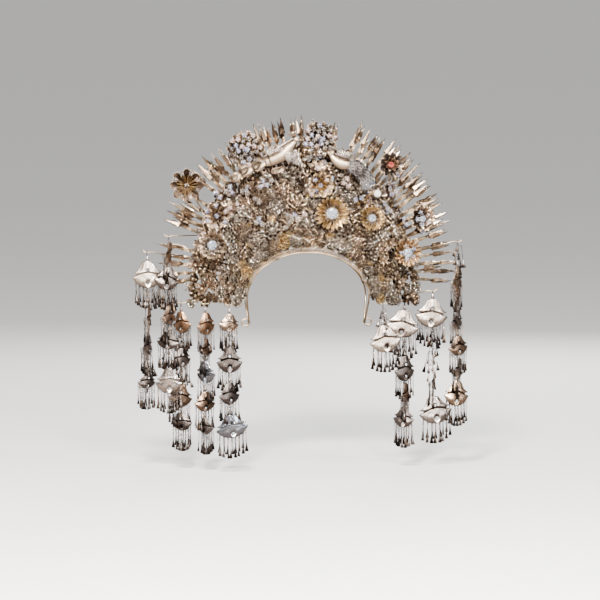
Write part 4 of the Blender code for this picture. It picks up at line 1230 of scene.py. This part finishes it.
def addBellSheet(shape, half, height):
    # an embossed sheet, foot at z 0
    rowsUp = len(bellPlan["outline"]) - 1
    verts = bmesh.ops.create_grid(shape, x_segments=16, y_segments=rowsUp, size=0.5)["verts"]
    for vert in verts:
        level = round((0.5 - vert.co.y) * rowsUp)
        rise, reach = bellPlan["outline"][level]
        across = 2.0 * vert.co.x
        # the upper bell's lip runs up to the middle and out to the wing tips
        near = math.exp(-(((rise - bellPlan["lip"]) / bellPlan["lipReach"]) ** 2))
        lift = near * (bellPlan["lipLift"] * (1.0 - abs(across)) ** 1.5 + 0.03 * across ** 6)
        scallop = 0.03 * abs(math.cos(3.0 * math.pi * across)) * (1.0 - min(1.0, rise / 0.12))
        x, z = half * reach * across, height * (rise + lift - scallop + 0.02)
        fluteTurn = math.atan2(x, height * (bellPlan["holes"][1] + 0.12) - z)
        low = max(0.0, min(1.0, (0.42 - rise) / 0.08)) * min(1.0, abs(across) * 3.0 + 0.2)
        y = -bellPlan["bow"] * (1.0 - across ** 2) * (1.1 - 0.5 * rise)
        y -= bellPlan["flute"] * math.cos(5.0 * fluteTurn) * low
        y -= bellPlan["step"] if rise > 0.5 else 0.0
        y -= 0.0005 * math.cos(4.0 * math.pi * across) * max(0.0, 1.0 - abs(rise - 0.75) / 0.2)
        vert.co = Vector((x, y, z))


def pierceBell(shape, height):
    # round holes on the middle line, with the sheet drawn back evenly round them
    hole, reach = bellPlan["hole"], 3.0 * bellPlan["hole"]
    for level in bellPlan["holes"]:
        spot = min(shape.verts, key=lambda v: abs(v.co.x) * 3 + abs(v.co.z - height * level))
        rim = {other for face in spot.link_faces for other in face.verts} - {spot}
        middle = spot.co.copy()
        bmesh.ops.delete(shape, geom=[spot], context="VERTS")
        for vert in shape.verts:
            way = Vector((vert.co.x - middle.x, 0.0, vert.co.z - middle.z))
            far = hole if vert in rim else hole + way.length * (reach - hole) / reach
            if way.length < reach or vert in rim:
                way = way.normalized() * far
                vert.co.x, vert.co.z = middle.x + way.x, middle.z + way.z
            if vert in rim:
                vert.co.y = middle.y


def shadeBell(shape, half, height):
    # painted shade under the lip, in the flutes and round the holes, and a little lighter towards the sides
    layer = shape.verts.layers.float["tone"]
    for vert in shape.verts:
        across, rise = vert.co.x / half, vert.co.z / height
        lip = bellPlan["lip"] + bellPlan["lipLift"] * max(0.0, 1.0 - abs(across)) ** 1.5
        vert[layer] = -0.75 * math.exp(-(((rise - lip) / 0.035) ** 2))
        vert[layer] -= 0.8 * math.exp(-((across / 0.20) ** 2)) * math.exp(-(((rise - 0.25) / 0.12) ** 2))
        vert[layer] -= 0.8 * math.exp(-((across / 0.18) ** 2)) * math.exp(-(((rise - 0.67) / 0.09) ** 2))
        vert[layer] += 0.15 * min(1.0, abs(across)) + 0.1


def bellMesh():
    shape = newShape()
    half, height = bellPlan["width"] / 2, bellPlan["height"]
    addBellSheet(shape, half, height)
    pierceBell(shape, height)
    bmesh.ops.recalc_face_normals(shape, faces=shape.faces)
    bmesh.ops.solidify(shape, geom=shape.faces[:], thickness=bellPlan["thick"])
    settle(shape, shape.verts[:], Matrix(), "silver")
    shadeBell(shape, half, height)
    tree = BVHTree.FromBMesh(shape)

    def onFront(x, z):
        return tree.ray_cast(Vector((half * x, -0.02, height * z)), Vector((0, 1, 0)))[0]

    for side in (-1, 1):
        for hit in filter(None, (onFront(side * x, z) for x, z in bellPlan["granules"])):
            addBead(shape, at(hit), 0.0007, "silver", 0.2)
    # chased lines, drawn as thin dark wires
    lines = []
    for side in (-1, 1):
        for marks in bellPlan["chased"]:
            curve = smoothLine([Vector((x, z, 0.0)) for x, z in marks], 3)
            line = list(filter(None, (onFront(side * spot.x, spot.y) for spot in curve)))
            if len(line) > 2:
                lines.append(line)
    addWires(shape, lines, 0.00024, "brown", -0.6)
    for side in (-1, 1):
        place = at(onFront(side * 0.22, 0.90)) @ faceOn @ sized(0.5, 0.5, 0.9)
        stamp(shape, granuleRing, place, "silver", 0.2)
    top = move(0, -0.0004, height * 0.99) @ edgeOn
    stamp(shape, jumpRing, top @ sized(0.8, 0.8, 1.0), "silver")
    return asMesh(shape, "bell")


def dropMeshes():
    # a ring, links or a thin rod and a flat flared drop, hanging from the origin
    made = []
    for rod, links, flare in ((0.0120, 1, 0.0031), (0.0085, 2, 0.0026), (0.0150, 0, 0.0024), (0.0050, 3, 0.0030)):
        shape = newShape()
        stamp(shape, dropRing, move(0, 0, -0.0012) @ edgeOn, "greySilver", 0.1)
        z = -0.0030
        for i in range(links):
            local = move(0, 0, z - 0.0012) @ spinBy(math.pi / 2 * (i + 1)) @ faceOn
            stamp(shape, linkMesh, local @ sized(1.0, 1.7, 1.0), "greySilver", 0.1)
            z -= 0.0032
        addCone(shape, Vector((0, 0, z)), Vector((0, 0, z - rod)), 0.00048, 0.00048, 4, "greySilver", 0.1)
        z -= rod
        stamp(shape, linkMesh, move(0, 0, z - 0.0006) @ faceOn, "greySilver", 0.2)
        profile = (
            (0.0, -0.0008), (0.0010, -0.0014), (0.0008, -0.0026), (flare * 0.55, -0.0065), (flare, -0.0120),
            (0.0, -0.0124),
        )
        addTurned(shape, profile, 6, move(0, 0, z) @ sized(1.0, 0.5, 1.0), "silver", -0.55)
        made.append(asMesh(shape, "drop"))
    return made


def tasselMesh():
    # a short flared drop that hangs from a chain's link
    shape = newShape()
    stamp(shape, dropRing, move(0, 0, -0.0012) @ edgeOn, "greySilver", 0.1)
    profile = ((0.0, -0.0028), (0.0009, -0.0032), (0.0018, -0.0074), (0.0028, -0.0112), (0.0, -0.0116))
    addTurned(shape, profile, 6, sized(1.0, 0.5, 1.0), "silver", -0.5)
    return asMesh(shape, "tassel")


def addChain(shape, top, bottom, chance):
    length = (top - bottom).length
    count = max(1, round(length / chainPlan["pitch"]))
    stretch = length / count / chainPlan["pitch"]
    for i in range(count):
        spot = top.lerp(bottom, (i + 0.5) / count)
        place = at(spot) @ spinBy(math.pi / 2 * (i % 2) + chance.uniform(-0.25, 0.25))
        place = place @ faceOn @ sized(1.0, 1.85 * stretch, 1.0)
        stamp(shape, linkMesh, place, "greySilver", chance.uniform(0, 0.2))


def addConeBead(shape, top, length, look="silver"):
    profile = (
        (0.0, 0.0), (0.0008, -0.0002), (0.0007, -0.0014), (0.0023, -length * 0.72), (0.0019, -length * 0.88),
        (0.0, -length),
    )
    addTurned(shape, profile, 8, at(top), look, 0.1)


def makeString(row, bell, drops, tassel):
    chance = random.Random(row["name"])
    hang = Vector((row["x"], row["y"], row["z"]))
    centre = hang - upward * 0.0012
    shape = newShape()
    stamp(shape, jumpRing, at(centre) @ edgeOn @ sized(1.81, 1.81, 1.6), "greySilver", 0.2)
    chainTop = centre - upward * 0.0029
    for plate in table(bellKeys, *bells[row["name"]]):
        head = hang - upward * plate["down"]
        foot = head - upward * plate["height"]
        span = (chainTop - head).z
        addChain(shape, chainTop + upward * 0.0006, head - upward * 0.0004, chance)
        if span > chainPlan["beaded"]:
            addConeBead(shape, head + upward * 0.0078, 0.0072)
        if span > chainPlan["dressed"]:
            addConeBead(shape, chainTop - upward * 0.002, 0.0085, "greySilver")
            count = int(span / chainPlan["tasselEvery"])
            for i in range(count):
                turn = goldenTurn * i + chance.uniform(-0.3, 0.3)
                side = around(turn, 1.0) * chance.uniform(0.0020, 0.0066)
                link = chainTop.lerp(head, (i + 0.5) / count)
                spot = link + side
                addCone(shape, link, spot + upward * 0.0003, 0.0004, 0.0004, 4, "greySilver")
                place = at(spot) @ spinBy(turn) @ spinBy(chance.uniform(-0.35, -0.05), "Y")
                mesh = tassel if i % 3 else chance.choice(drops)
                stamp(shape, mesh, place, chance.choice((None, "umber", "greySilver")), chance.uniform(-0.25, 0.4))
        chainTop = foot + upward * 0.002
        roll = math.radians(plate.get("roll", 0.0)) + chance.uniform(-0.09, 0.09)
        place = at(head) @ spinBy(roll, "Y") @ move(0, 0, -plate["height"]) @ spinBy(math.radians(plate["yaw"]))
        wide, tall = plate["width"] / bellPlan["width"], plate["height"] / bellPlan["height"]
        local = place @ spinBy(chance.uniform(-0.06, 0.06), "X") @ sized(wide, 1.0, tall)
        stamp(shape, bell, local, plate["look"], plate["tone"])
        # eight drops along the rim and seven darker ones behind them
        for count, reach, depth, lift in ((8, 0.94, -0.001, 0.0), (7, 0.84, 0.004, 0.16)):
            for i in range(count):
                across = reach * (2 * i / (count - 1) - 1)
                rise = 0.05 + 0.24 * across ** 2 + lift
                start = place @ Vector((across * plate["width"] / 2 * 0.9, depth, rise * plate["height"]))
                turn = spinBy(chance.uniform(-0.8, 0.8) + math.radians(plate["yaw"]))
                turn = turn @ spinBy(chance.uniform(-0.06, 0.06), "Y")
                look = chance.choice((None, None, "umber", "greySilver")) if depth < 0 else "greySilver"
                stamp(shape, chance.choice(drops), at(start) @ turn, look, chance.uniform(-0.15, 0.3))
    body = "inner_pendant" if row["name"] == "pendant_right_inner" else "crown"
    finishPiece(row["name"].replace("_", ""), shape, [row["name"]], body)


bell = bellMesh()
drops = dropMeshes()
tassel = tasselMesh()
for row in strings:
    makeString(row, bell, drops, tassel)
print("side strings made")

# The two birds, in x and z: centre line and half width of the body, granulated mounds, lobes of the tail, and
# the scales as length, width, step along the body, spread and places across in every second row
birds = (
    {
        "node": "bird_left", "name": "birdLeft", "tailLook": "buff", "pins": (96.9, 110.8),
        "body": (
            (-0.0115, 0.1530, 0.0010), (-0.0165, 0.1505, 0.0046), (-0.0240, 0.1430, 0.0076),
            (-0.0340, 0.1335, 0.0106), (-0.0480, 0.1260, 0.0090), (-0.0630, 0.1205, 0.0058),
            (-0.0790, 0.1130, 0.0016),
        ),
        "mounds": (
            (-0.0500, 0.1370, 0.0066), (-0.0370, 0.1395, 0.0062), (-0.0150, 0.1340, 0.0070),
            (-0.0130, 0.1240, 0.0062),
        ),
        "lobes": (
            (-0.0655, 0.1190, 0.0108, 0.0068, 24.0), (-0.0825, 0.1115, 0.0096, 0.0074, 24.0),
            (-0.0960, 0.1030, 0.0072, 0.0062, 38.0), (-0.0390, 0.1120, 0.0090, 0.0036, 12.0),
        ),
        "wing": (0.016, -0.016), "wingSize": 0.85, "wingAt": (0.004, -0.001), "tailFrom": 4, "tailSize": 0.5,
    },
    {
        "node": "bird_right", "name": "birdRight", "tailLook": "blueSilver", "pins": (69.2, 55.4),
        "body": (
            (0.0325, 0.1370, 0.0012), (0.0375, 0.1290, 0.0058), (0.0475, 0.1215, 0.0092), (0.0610, 0.1190, 0.0078),
            (0.0730, 0.1120, 0.0072), (0.0830, 0.0980, 0.0060), (0.0900, 0.0800, 0.0016),
        ),
        "mounds": ((0.0480, 0.1345, 0.0054), (0.0570, 0.1325, 0.0046)), "lobes": (),
        "scales": (0.0075, 0.0046, 1, 0.0066, ((-1.0, -0.5, 0.0, 0.5, 1.0), (-0.75, -0.25, 0.25, 0.75))),
        "wing": (0.010, 0.007), "wingSize": 0.5, "wingAt": (0.000, 0.006), "tailFrom": 3, "tailSize": 0.7,
    },
)


moundBeads = 22


def addBirdBody(shape, line, sides, radii, split, looks, top):
    # rounded sheet with a clean belly and a dirty back
    for first, last, look in ((0, split + 2, looks[0]), (split, len(line), looks[1])):
        part = newShape()
        addWires(part, [line[first:last]], 1.0, look, 0.2, fineness=4, radii=radii[first:last])
        layer = part.verts.layers.float["tone"]
        for vert in part.verts:
            i = min(range(first, last), key=lambda i: (line[i] - vert.co).length)
            back = (vert.co - line[i]).dot(sides[i]) * top / radii[i]
            vert[layer] = 0.3 - 1.1 * max(0.0, min(1.0, (back + 0.15) / 0.7))
        mesh = asMesh(part, "birdBody")
        stamp(shape, mesh, sized(1.0, 0.42 if first == 0 else 0.38, 1.0))
        drop(mesh)


def addScales(shape, plan, line, sides, ways, radii, split, chance):
    # overlapping scales from the tail forward to the back
    length, width, step, spread, places = plan["scales"]
    scale = petalMesh("scale", {
        "root": 0.0, "length": length, "width": width, "curl": 0.16, "fold": 0.5, "look": plan["tailLook"],
        "rimLook": "silver", "rimWire": 0.00034, "veins": (0.0,), "taper": 0.4,
    })
    for number, i in enumerate(range(len(line) - 3, split - 2, -step)):
        for across in places[number % 2]:
            spot = line[i] + sides[i] * (spread * across * min(1.0, radii[i] / 0.005))
            spot.y -= 0.0028 + 0.0002 * number + 0.0012 * (1.0 - across * across)
            along = math.atan2(ways[i].z, ways[i].x) - 0.35 * across
            flat = at(spot) @ faceOn @ spinBy(along + chance.uniform(-0.12, 0.12))
            stamp(shape, scale, flat, tone=chance.uniform(-0.75, 0.25))
    drop(scale)


def addMounds(shape, plan, chance):
    # granulated mounds on the back and below the neck
    for x, z, reach in plan["mounds"]:
        for i in range(moundBeads):
            spread, turn = reach * math.sqrt((i + 0.5) / moundBeads), goldenTurn * i
            height = -0.0052 + 0.004 * (spread / reach) ** 2
            spot = Vector((x + spread * math.cos(turn), height, z + 0.75 * spread * math.sin(turn)))
            addBead(shape, at(spot), chance.uniform(0.0010, 0.0014), "silver", 0.3, 2)


def addLobes(shape, plan):
    # smooth lobes of the tail and below the breast, outlined in dark wire
    for x, z, long, wide, angle in plan["lobes"]:
        lobe = petalMesh("lobe", {
            "root": -long, "length": 2.0 * long, "width": 2.0 * wide, "curl": 0.10, "fold": 0.25,
            "look": "buff", "rimLook": "brown", "rimWire": 0.0006, "veins": (), "taper": 0.55,
        })
        flat = move(x, -0.0058, z) @ faceOn @ spinBy(math.radians(angle))
        inside = move(-0.25 * long, 0.15 * wide, 0.0009) @ spinBy(0.3) @ sized(0.62, 0.55, 1.0)
        stamp(shape, lobe, flat, tone=0.12)
        stamp(shape, lobe, flat @ inside, tone=-0.25)
        drop(lobe)


def addHead(shape, line):
    # head, beak, eye and crest
    head = line[2] + Vector((0, -0.0005, 0.001))
    side = math.copysign(1.0, line[0].x - line[10].x)
    addBead(shape, at(head) @ sized(1.0, 0.8, 0.9), 0.0046, "buff", 0.2, 2)
    beak = [head + Vector((side * 0.003, 0, 0)), head + Vector((side * 0.010, 0, -0.0016))]
    addCone(shape, *beak, 0.0017, 0.0002, 8, "gilt")
    addBead(shape, at(head + Vector((side * 0.0008, -0.0036, 0.0008))), 0.0009, "redStone", 0.0, 2)
    for i in range(4):
        root = head + Vector((-side * 0.0012 * i, 0, 0.003))
        tip = root + Vector((-side * (0.001 + 0.0018 * i), 0, 0.0075 - 0.0012 * i))
        addCone(shape, root, tip, 0.0006, 0.0003, 5, "paleGilt")
        addBead(shape, at(tip), 0.0012, "silver", 0.2)


def addPlumes(shape, plan, line, ways, chance):
    # a wing of overlapping plumes and a fanned tail
    plume = petalMesh("plume", {
        "root": 0.0, "length": 0.020, "width": 0.0072, "curl": 0.10, "fold": 0.4, "look": "silver",
        "rimLook": "silver", "rimWire": 0.0004, "veins": (-0.5, 0.0, 0.5), "taper": 0.5,
    })
    root = line[14] + Vector((plan["wingAt"][0], -0.0046, plan["wingAt"][1]))
    wingWay = math.atan2(plan["wing"][1], plan["wing"][0])
    for i in range(6):
        angle = wingWay + (0.5 - i * 0.2)
        flat = at(root + Vector((0, -0.0004 * i, 0))) @ faceOn @ spinBy(angle)
        size = plan["wingSize"] * (1.0 - 0.06 * i)
        stamp(shape, plume, flat @ sized(size, size, 1.0), tone=chance.uniform(-0.15, 0.25))
    tailRoot = line[-6]
    tailWay = math.atan2(ways[-4].z, ways[-4].x)
    for i in range(5):
        flat = at(tailRoot + Vector((0, -0.003 - 0.0005 * i, 0))) @ faceOn
        flat = flat @ spinBy(tailWay + (i - 2) * 0.30)
        stamp(shape, plume, flat @ sized(plan["tailSize"], 0.8, 1.0), plan["tailLook"], chance.uniform(-0.3, 0.3))
    drop(plume)


def makeBird(plan):
    chance = random.Random(plan["name"])
    shape = newShape()
    line = smoothLine([Vector((x, 0.0, z)) for x, z, _ in plan["body"]], 5)
    halves = smoothLine([Vector((half, 0.0, 0.0)) for _, _, half in plan["body"]], 5)
    radii = [max(0.0006, half.x) for half in halves]
    split = plan["tailFrom"] * 5
    ways = [(b - a).normalized() for a, b in zip([line[0]] + line[:-1], line[1:] + [line[-1]])]
    sides = [Vector((way.z, 0.0, -way.x)) for way in ways]
    top = 1.0 if sides[10].z > 0 else -1.0
    spine = list(zip(line, sides, radii))
    addBirdBody(shape, line, sides, radii, split, ("buff", plan["tailLook"]), top)
    for side, look, wire, tone in ((-top, "brown", 0.0008, -0.7), (top, "greySilver", 0.0016, 0.0)):
        edge = [spot + out * (r * 0.95 * side) - Vector((0, 0.0012, 0)) for spot, out, r in spine]
        addWires(shape, [edge[3:-2]], wire, look, tone, fineness=1)
    inner = [spot + out * (r * 0.55 * top) - Vector((0, 0.36 * r + 0.0004, 0)) for spot, out, r in spine]
    addWires(shape, [inner[4:split]], 0.0005, "umber", -0.3)
    if "scales" in plan:
        addScales(shape, plan, line, sides, ways, radii, split, chance)
    addMounds(shape, plan, chance)
    addLobes(shape, plan)
    addHead(shape, line)
    addPlumes(shape, plan, line, ways, chance)
    for index, degrees in zip((10, 20), plan["pins"]):
        seat, _, _, facing = tierFrame(fan["rowTiers"][-1], degrees)
        addCone(shape, seat + facing * 0.0013, line[index], 0.0009, 0.0011, 8, "wire")
    finishPiece(plan["name"], shape, [plan["node"]])


for plan in birds:
    makeBird(plan)
print("birds made")

# Long plain pins pushed through the flowers: ends on the front, in x and z
pins = (((0.067, 0.060), (0.090, 0.083)), ((0.112, 0.027), (0.131, 0.041)), ((0.117, -0.007), (0.128, -0.004)))


def makePins():
    shape = newShape()
    for (x0, z0), (x1, z1) in pins:
        start, end = Vector((x0, -0.012, z0)), Vector((x1, -0.026, z1))
        addCone(shape, start + (start - end) * 0.3 + Vector((0, 0.022, 0)), end, 0.0007, 0.0007, 8, "ochre", 0.2)
        addBead(shape, at(end), 0.0012, "ochre", 0.2, 2)
    finishPiece("loosePins", shape)


makePins()
print("pins made")

# Studio: a pale floor, soft light and the camera at the photograph's angle
studio = {
    "floor": -0.30, "azimuth": -6.0, "elevation": 4.0, "distance": 6.0, "target": (-0.0082, 0.0, -0.0655),
    "fieldWidth": 0.8184,
}
# Name, place, width, watts and colour
lamps = (
    ("keyLight", (-0.5, -2.05, 1.3), 0.36, 215.0, (1.0, 0.96, 0.91)),
    ("fillLight", (1.6, -1.6, 0.6), 0.5, 42.0, (0.94, 0.96, 1.0)),
    ("frontLight", (0.2, -2.6, 0.7), 0.28, 128.0, (1.0, 0.97, 0.94)),
    ("topLight", (0.2, 0.2, 1.9), 0.7, 18.0, (1.0, 0.98, 0.95)),
    ("backLight", (0.6, 1.9, 0.9), 0.9, 48.0, (1.0, 0.98, 0.96)),
    ("sideLight", (-2.0, -0.2, 0.1), 0.5, 12.0, (0.96, 0.97, 1.0)),
)


def splitByRay(nodes, links, seen, mirrored, output):
    # what the metal mirrors is darker than what is seen, as in a room round a studio table
    path = nodes.new("ShaderNodeLightPath")
    mix = nodes.new("ShaderNodeMixShader")
    links.new(path.outputs["Is Glossy Ray"], mix.inputs["Fac"])
    links.new(seen.outputs[0], mix.inputs[1])
    links.new(mirrored.outputs[0], mix.inputs[2])
    links.new(mix.outputs[0], output.inputs["Surface"])


def makeFloor():
    shape = bmesh.new()
    bmesh.ops.create_circle(shape, cap_ends=True, segments=64, radius=600.0, matrix=move(0, 0, studio["floor"]))
    mesh = bpy.data.meshes.new("floor")
    shape.to_mesh(mesh)
    shape.free()
    pale, nodes, links, shader = newMaterial("paleFloor", {"Base Color": (0.74, 0.73, 0.72, 1.0), "Roughness": 0.9})
    shaded = setInputs(nodes.new("ShaderNodeBsdfDiffuse"), {"Color": (0.12, 0.10, 0.09, 1.0)})
    splitByRay(nodes, links, shader, shaded, nodes["Material Output"])
    mesh.materials.append(pale)
    addObject("floor", mesh)


def aim(thing, target):
    thing.rotation_euler = (Vector(target) - thing.location).to_track_quat("-Z", "Y").to_euler()


def makeLights():
    world = bpy.data.worlds.new("studio")
    bpy.context.scene.world = world
    world.use_nodes = True
    nodes, links = world.node_tree.nodes, world.node_tree.links
    dim = setInputs(nodes["Background"], {"Color": (0.86, 0.90, 1.0, 1.0), "Strength": 0.08})
    pale = setInputs(nodes.new("ShaderNodeBackground"), {"Color": (1.0, 0.99, 0.98, 1.0), "Strength": 0.52})
    splitByRay(nodes, links, pale, dim, nodes["World Output"])
    for name, spot, size, power, colour in lamps:
        lamp = bpy.data.lights.new(name, "AREA")
        lamp.shape = "DISK"
        lamp.size = size
        lamp.energy = power
        lamp.color = colour
        holder = addObject(name, lamp)
        holder.location = spot
        aim(holder, (0.0, 0.0, -0.03))
    sun = bpy.data.lights.new("softSun", "SUN")
    sun.energy = 1.0
    sun.angle = math.radians(24.0)
    sky = addObject("softSun", sun)
    sky.location = (-1.0, -1.5, 3.0)
    aim(sky, (0, 0, 0))


def makeCamera():
    lens = bpy.data.cameras.new("camera")
    camera = addObject("camera", lens)
    a, e = math.radians(studio["azimuth"]), math.radians(studio["elevation"])
    target = Vector(studio["target"])
    back = Vector((math.sin(a) * math.cos(e), -math.cos(a) * math.cos(e), math.sin(e)))
    camera.location = target + back * studio["distance"]
    aim(camera, target)
    lens.sensor_width = 36.0
    lens.lens = 36.0 * studio["distance"] / studio["fieldWidth"]
    lens.clip_end = 2000.0
    bpy.context.scene.camera = camera


makeFloor()
makeLights()
makeCamera()
print("studio made")
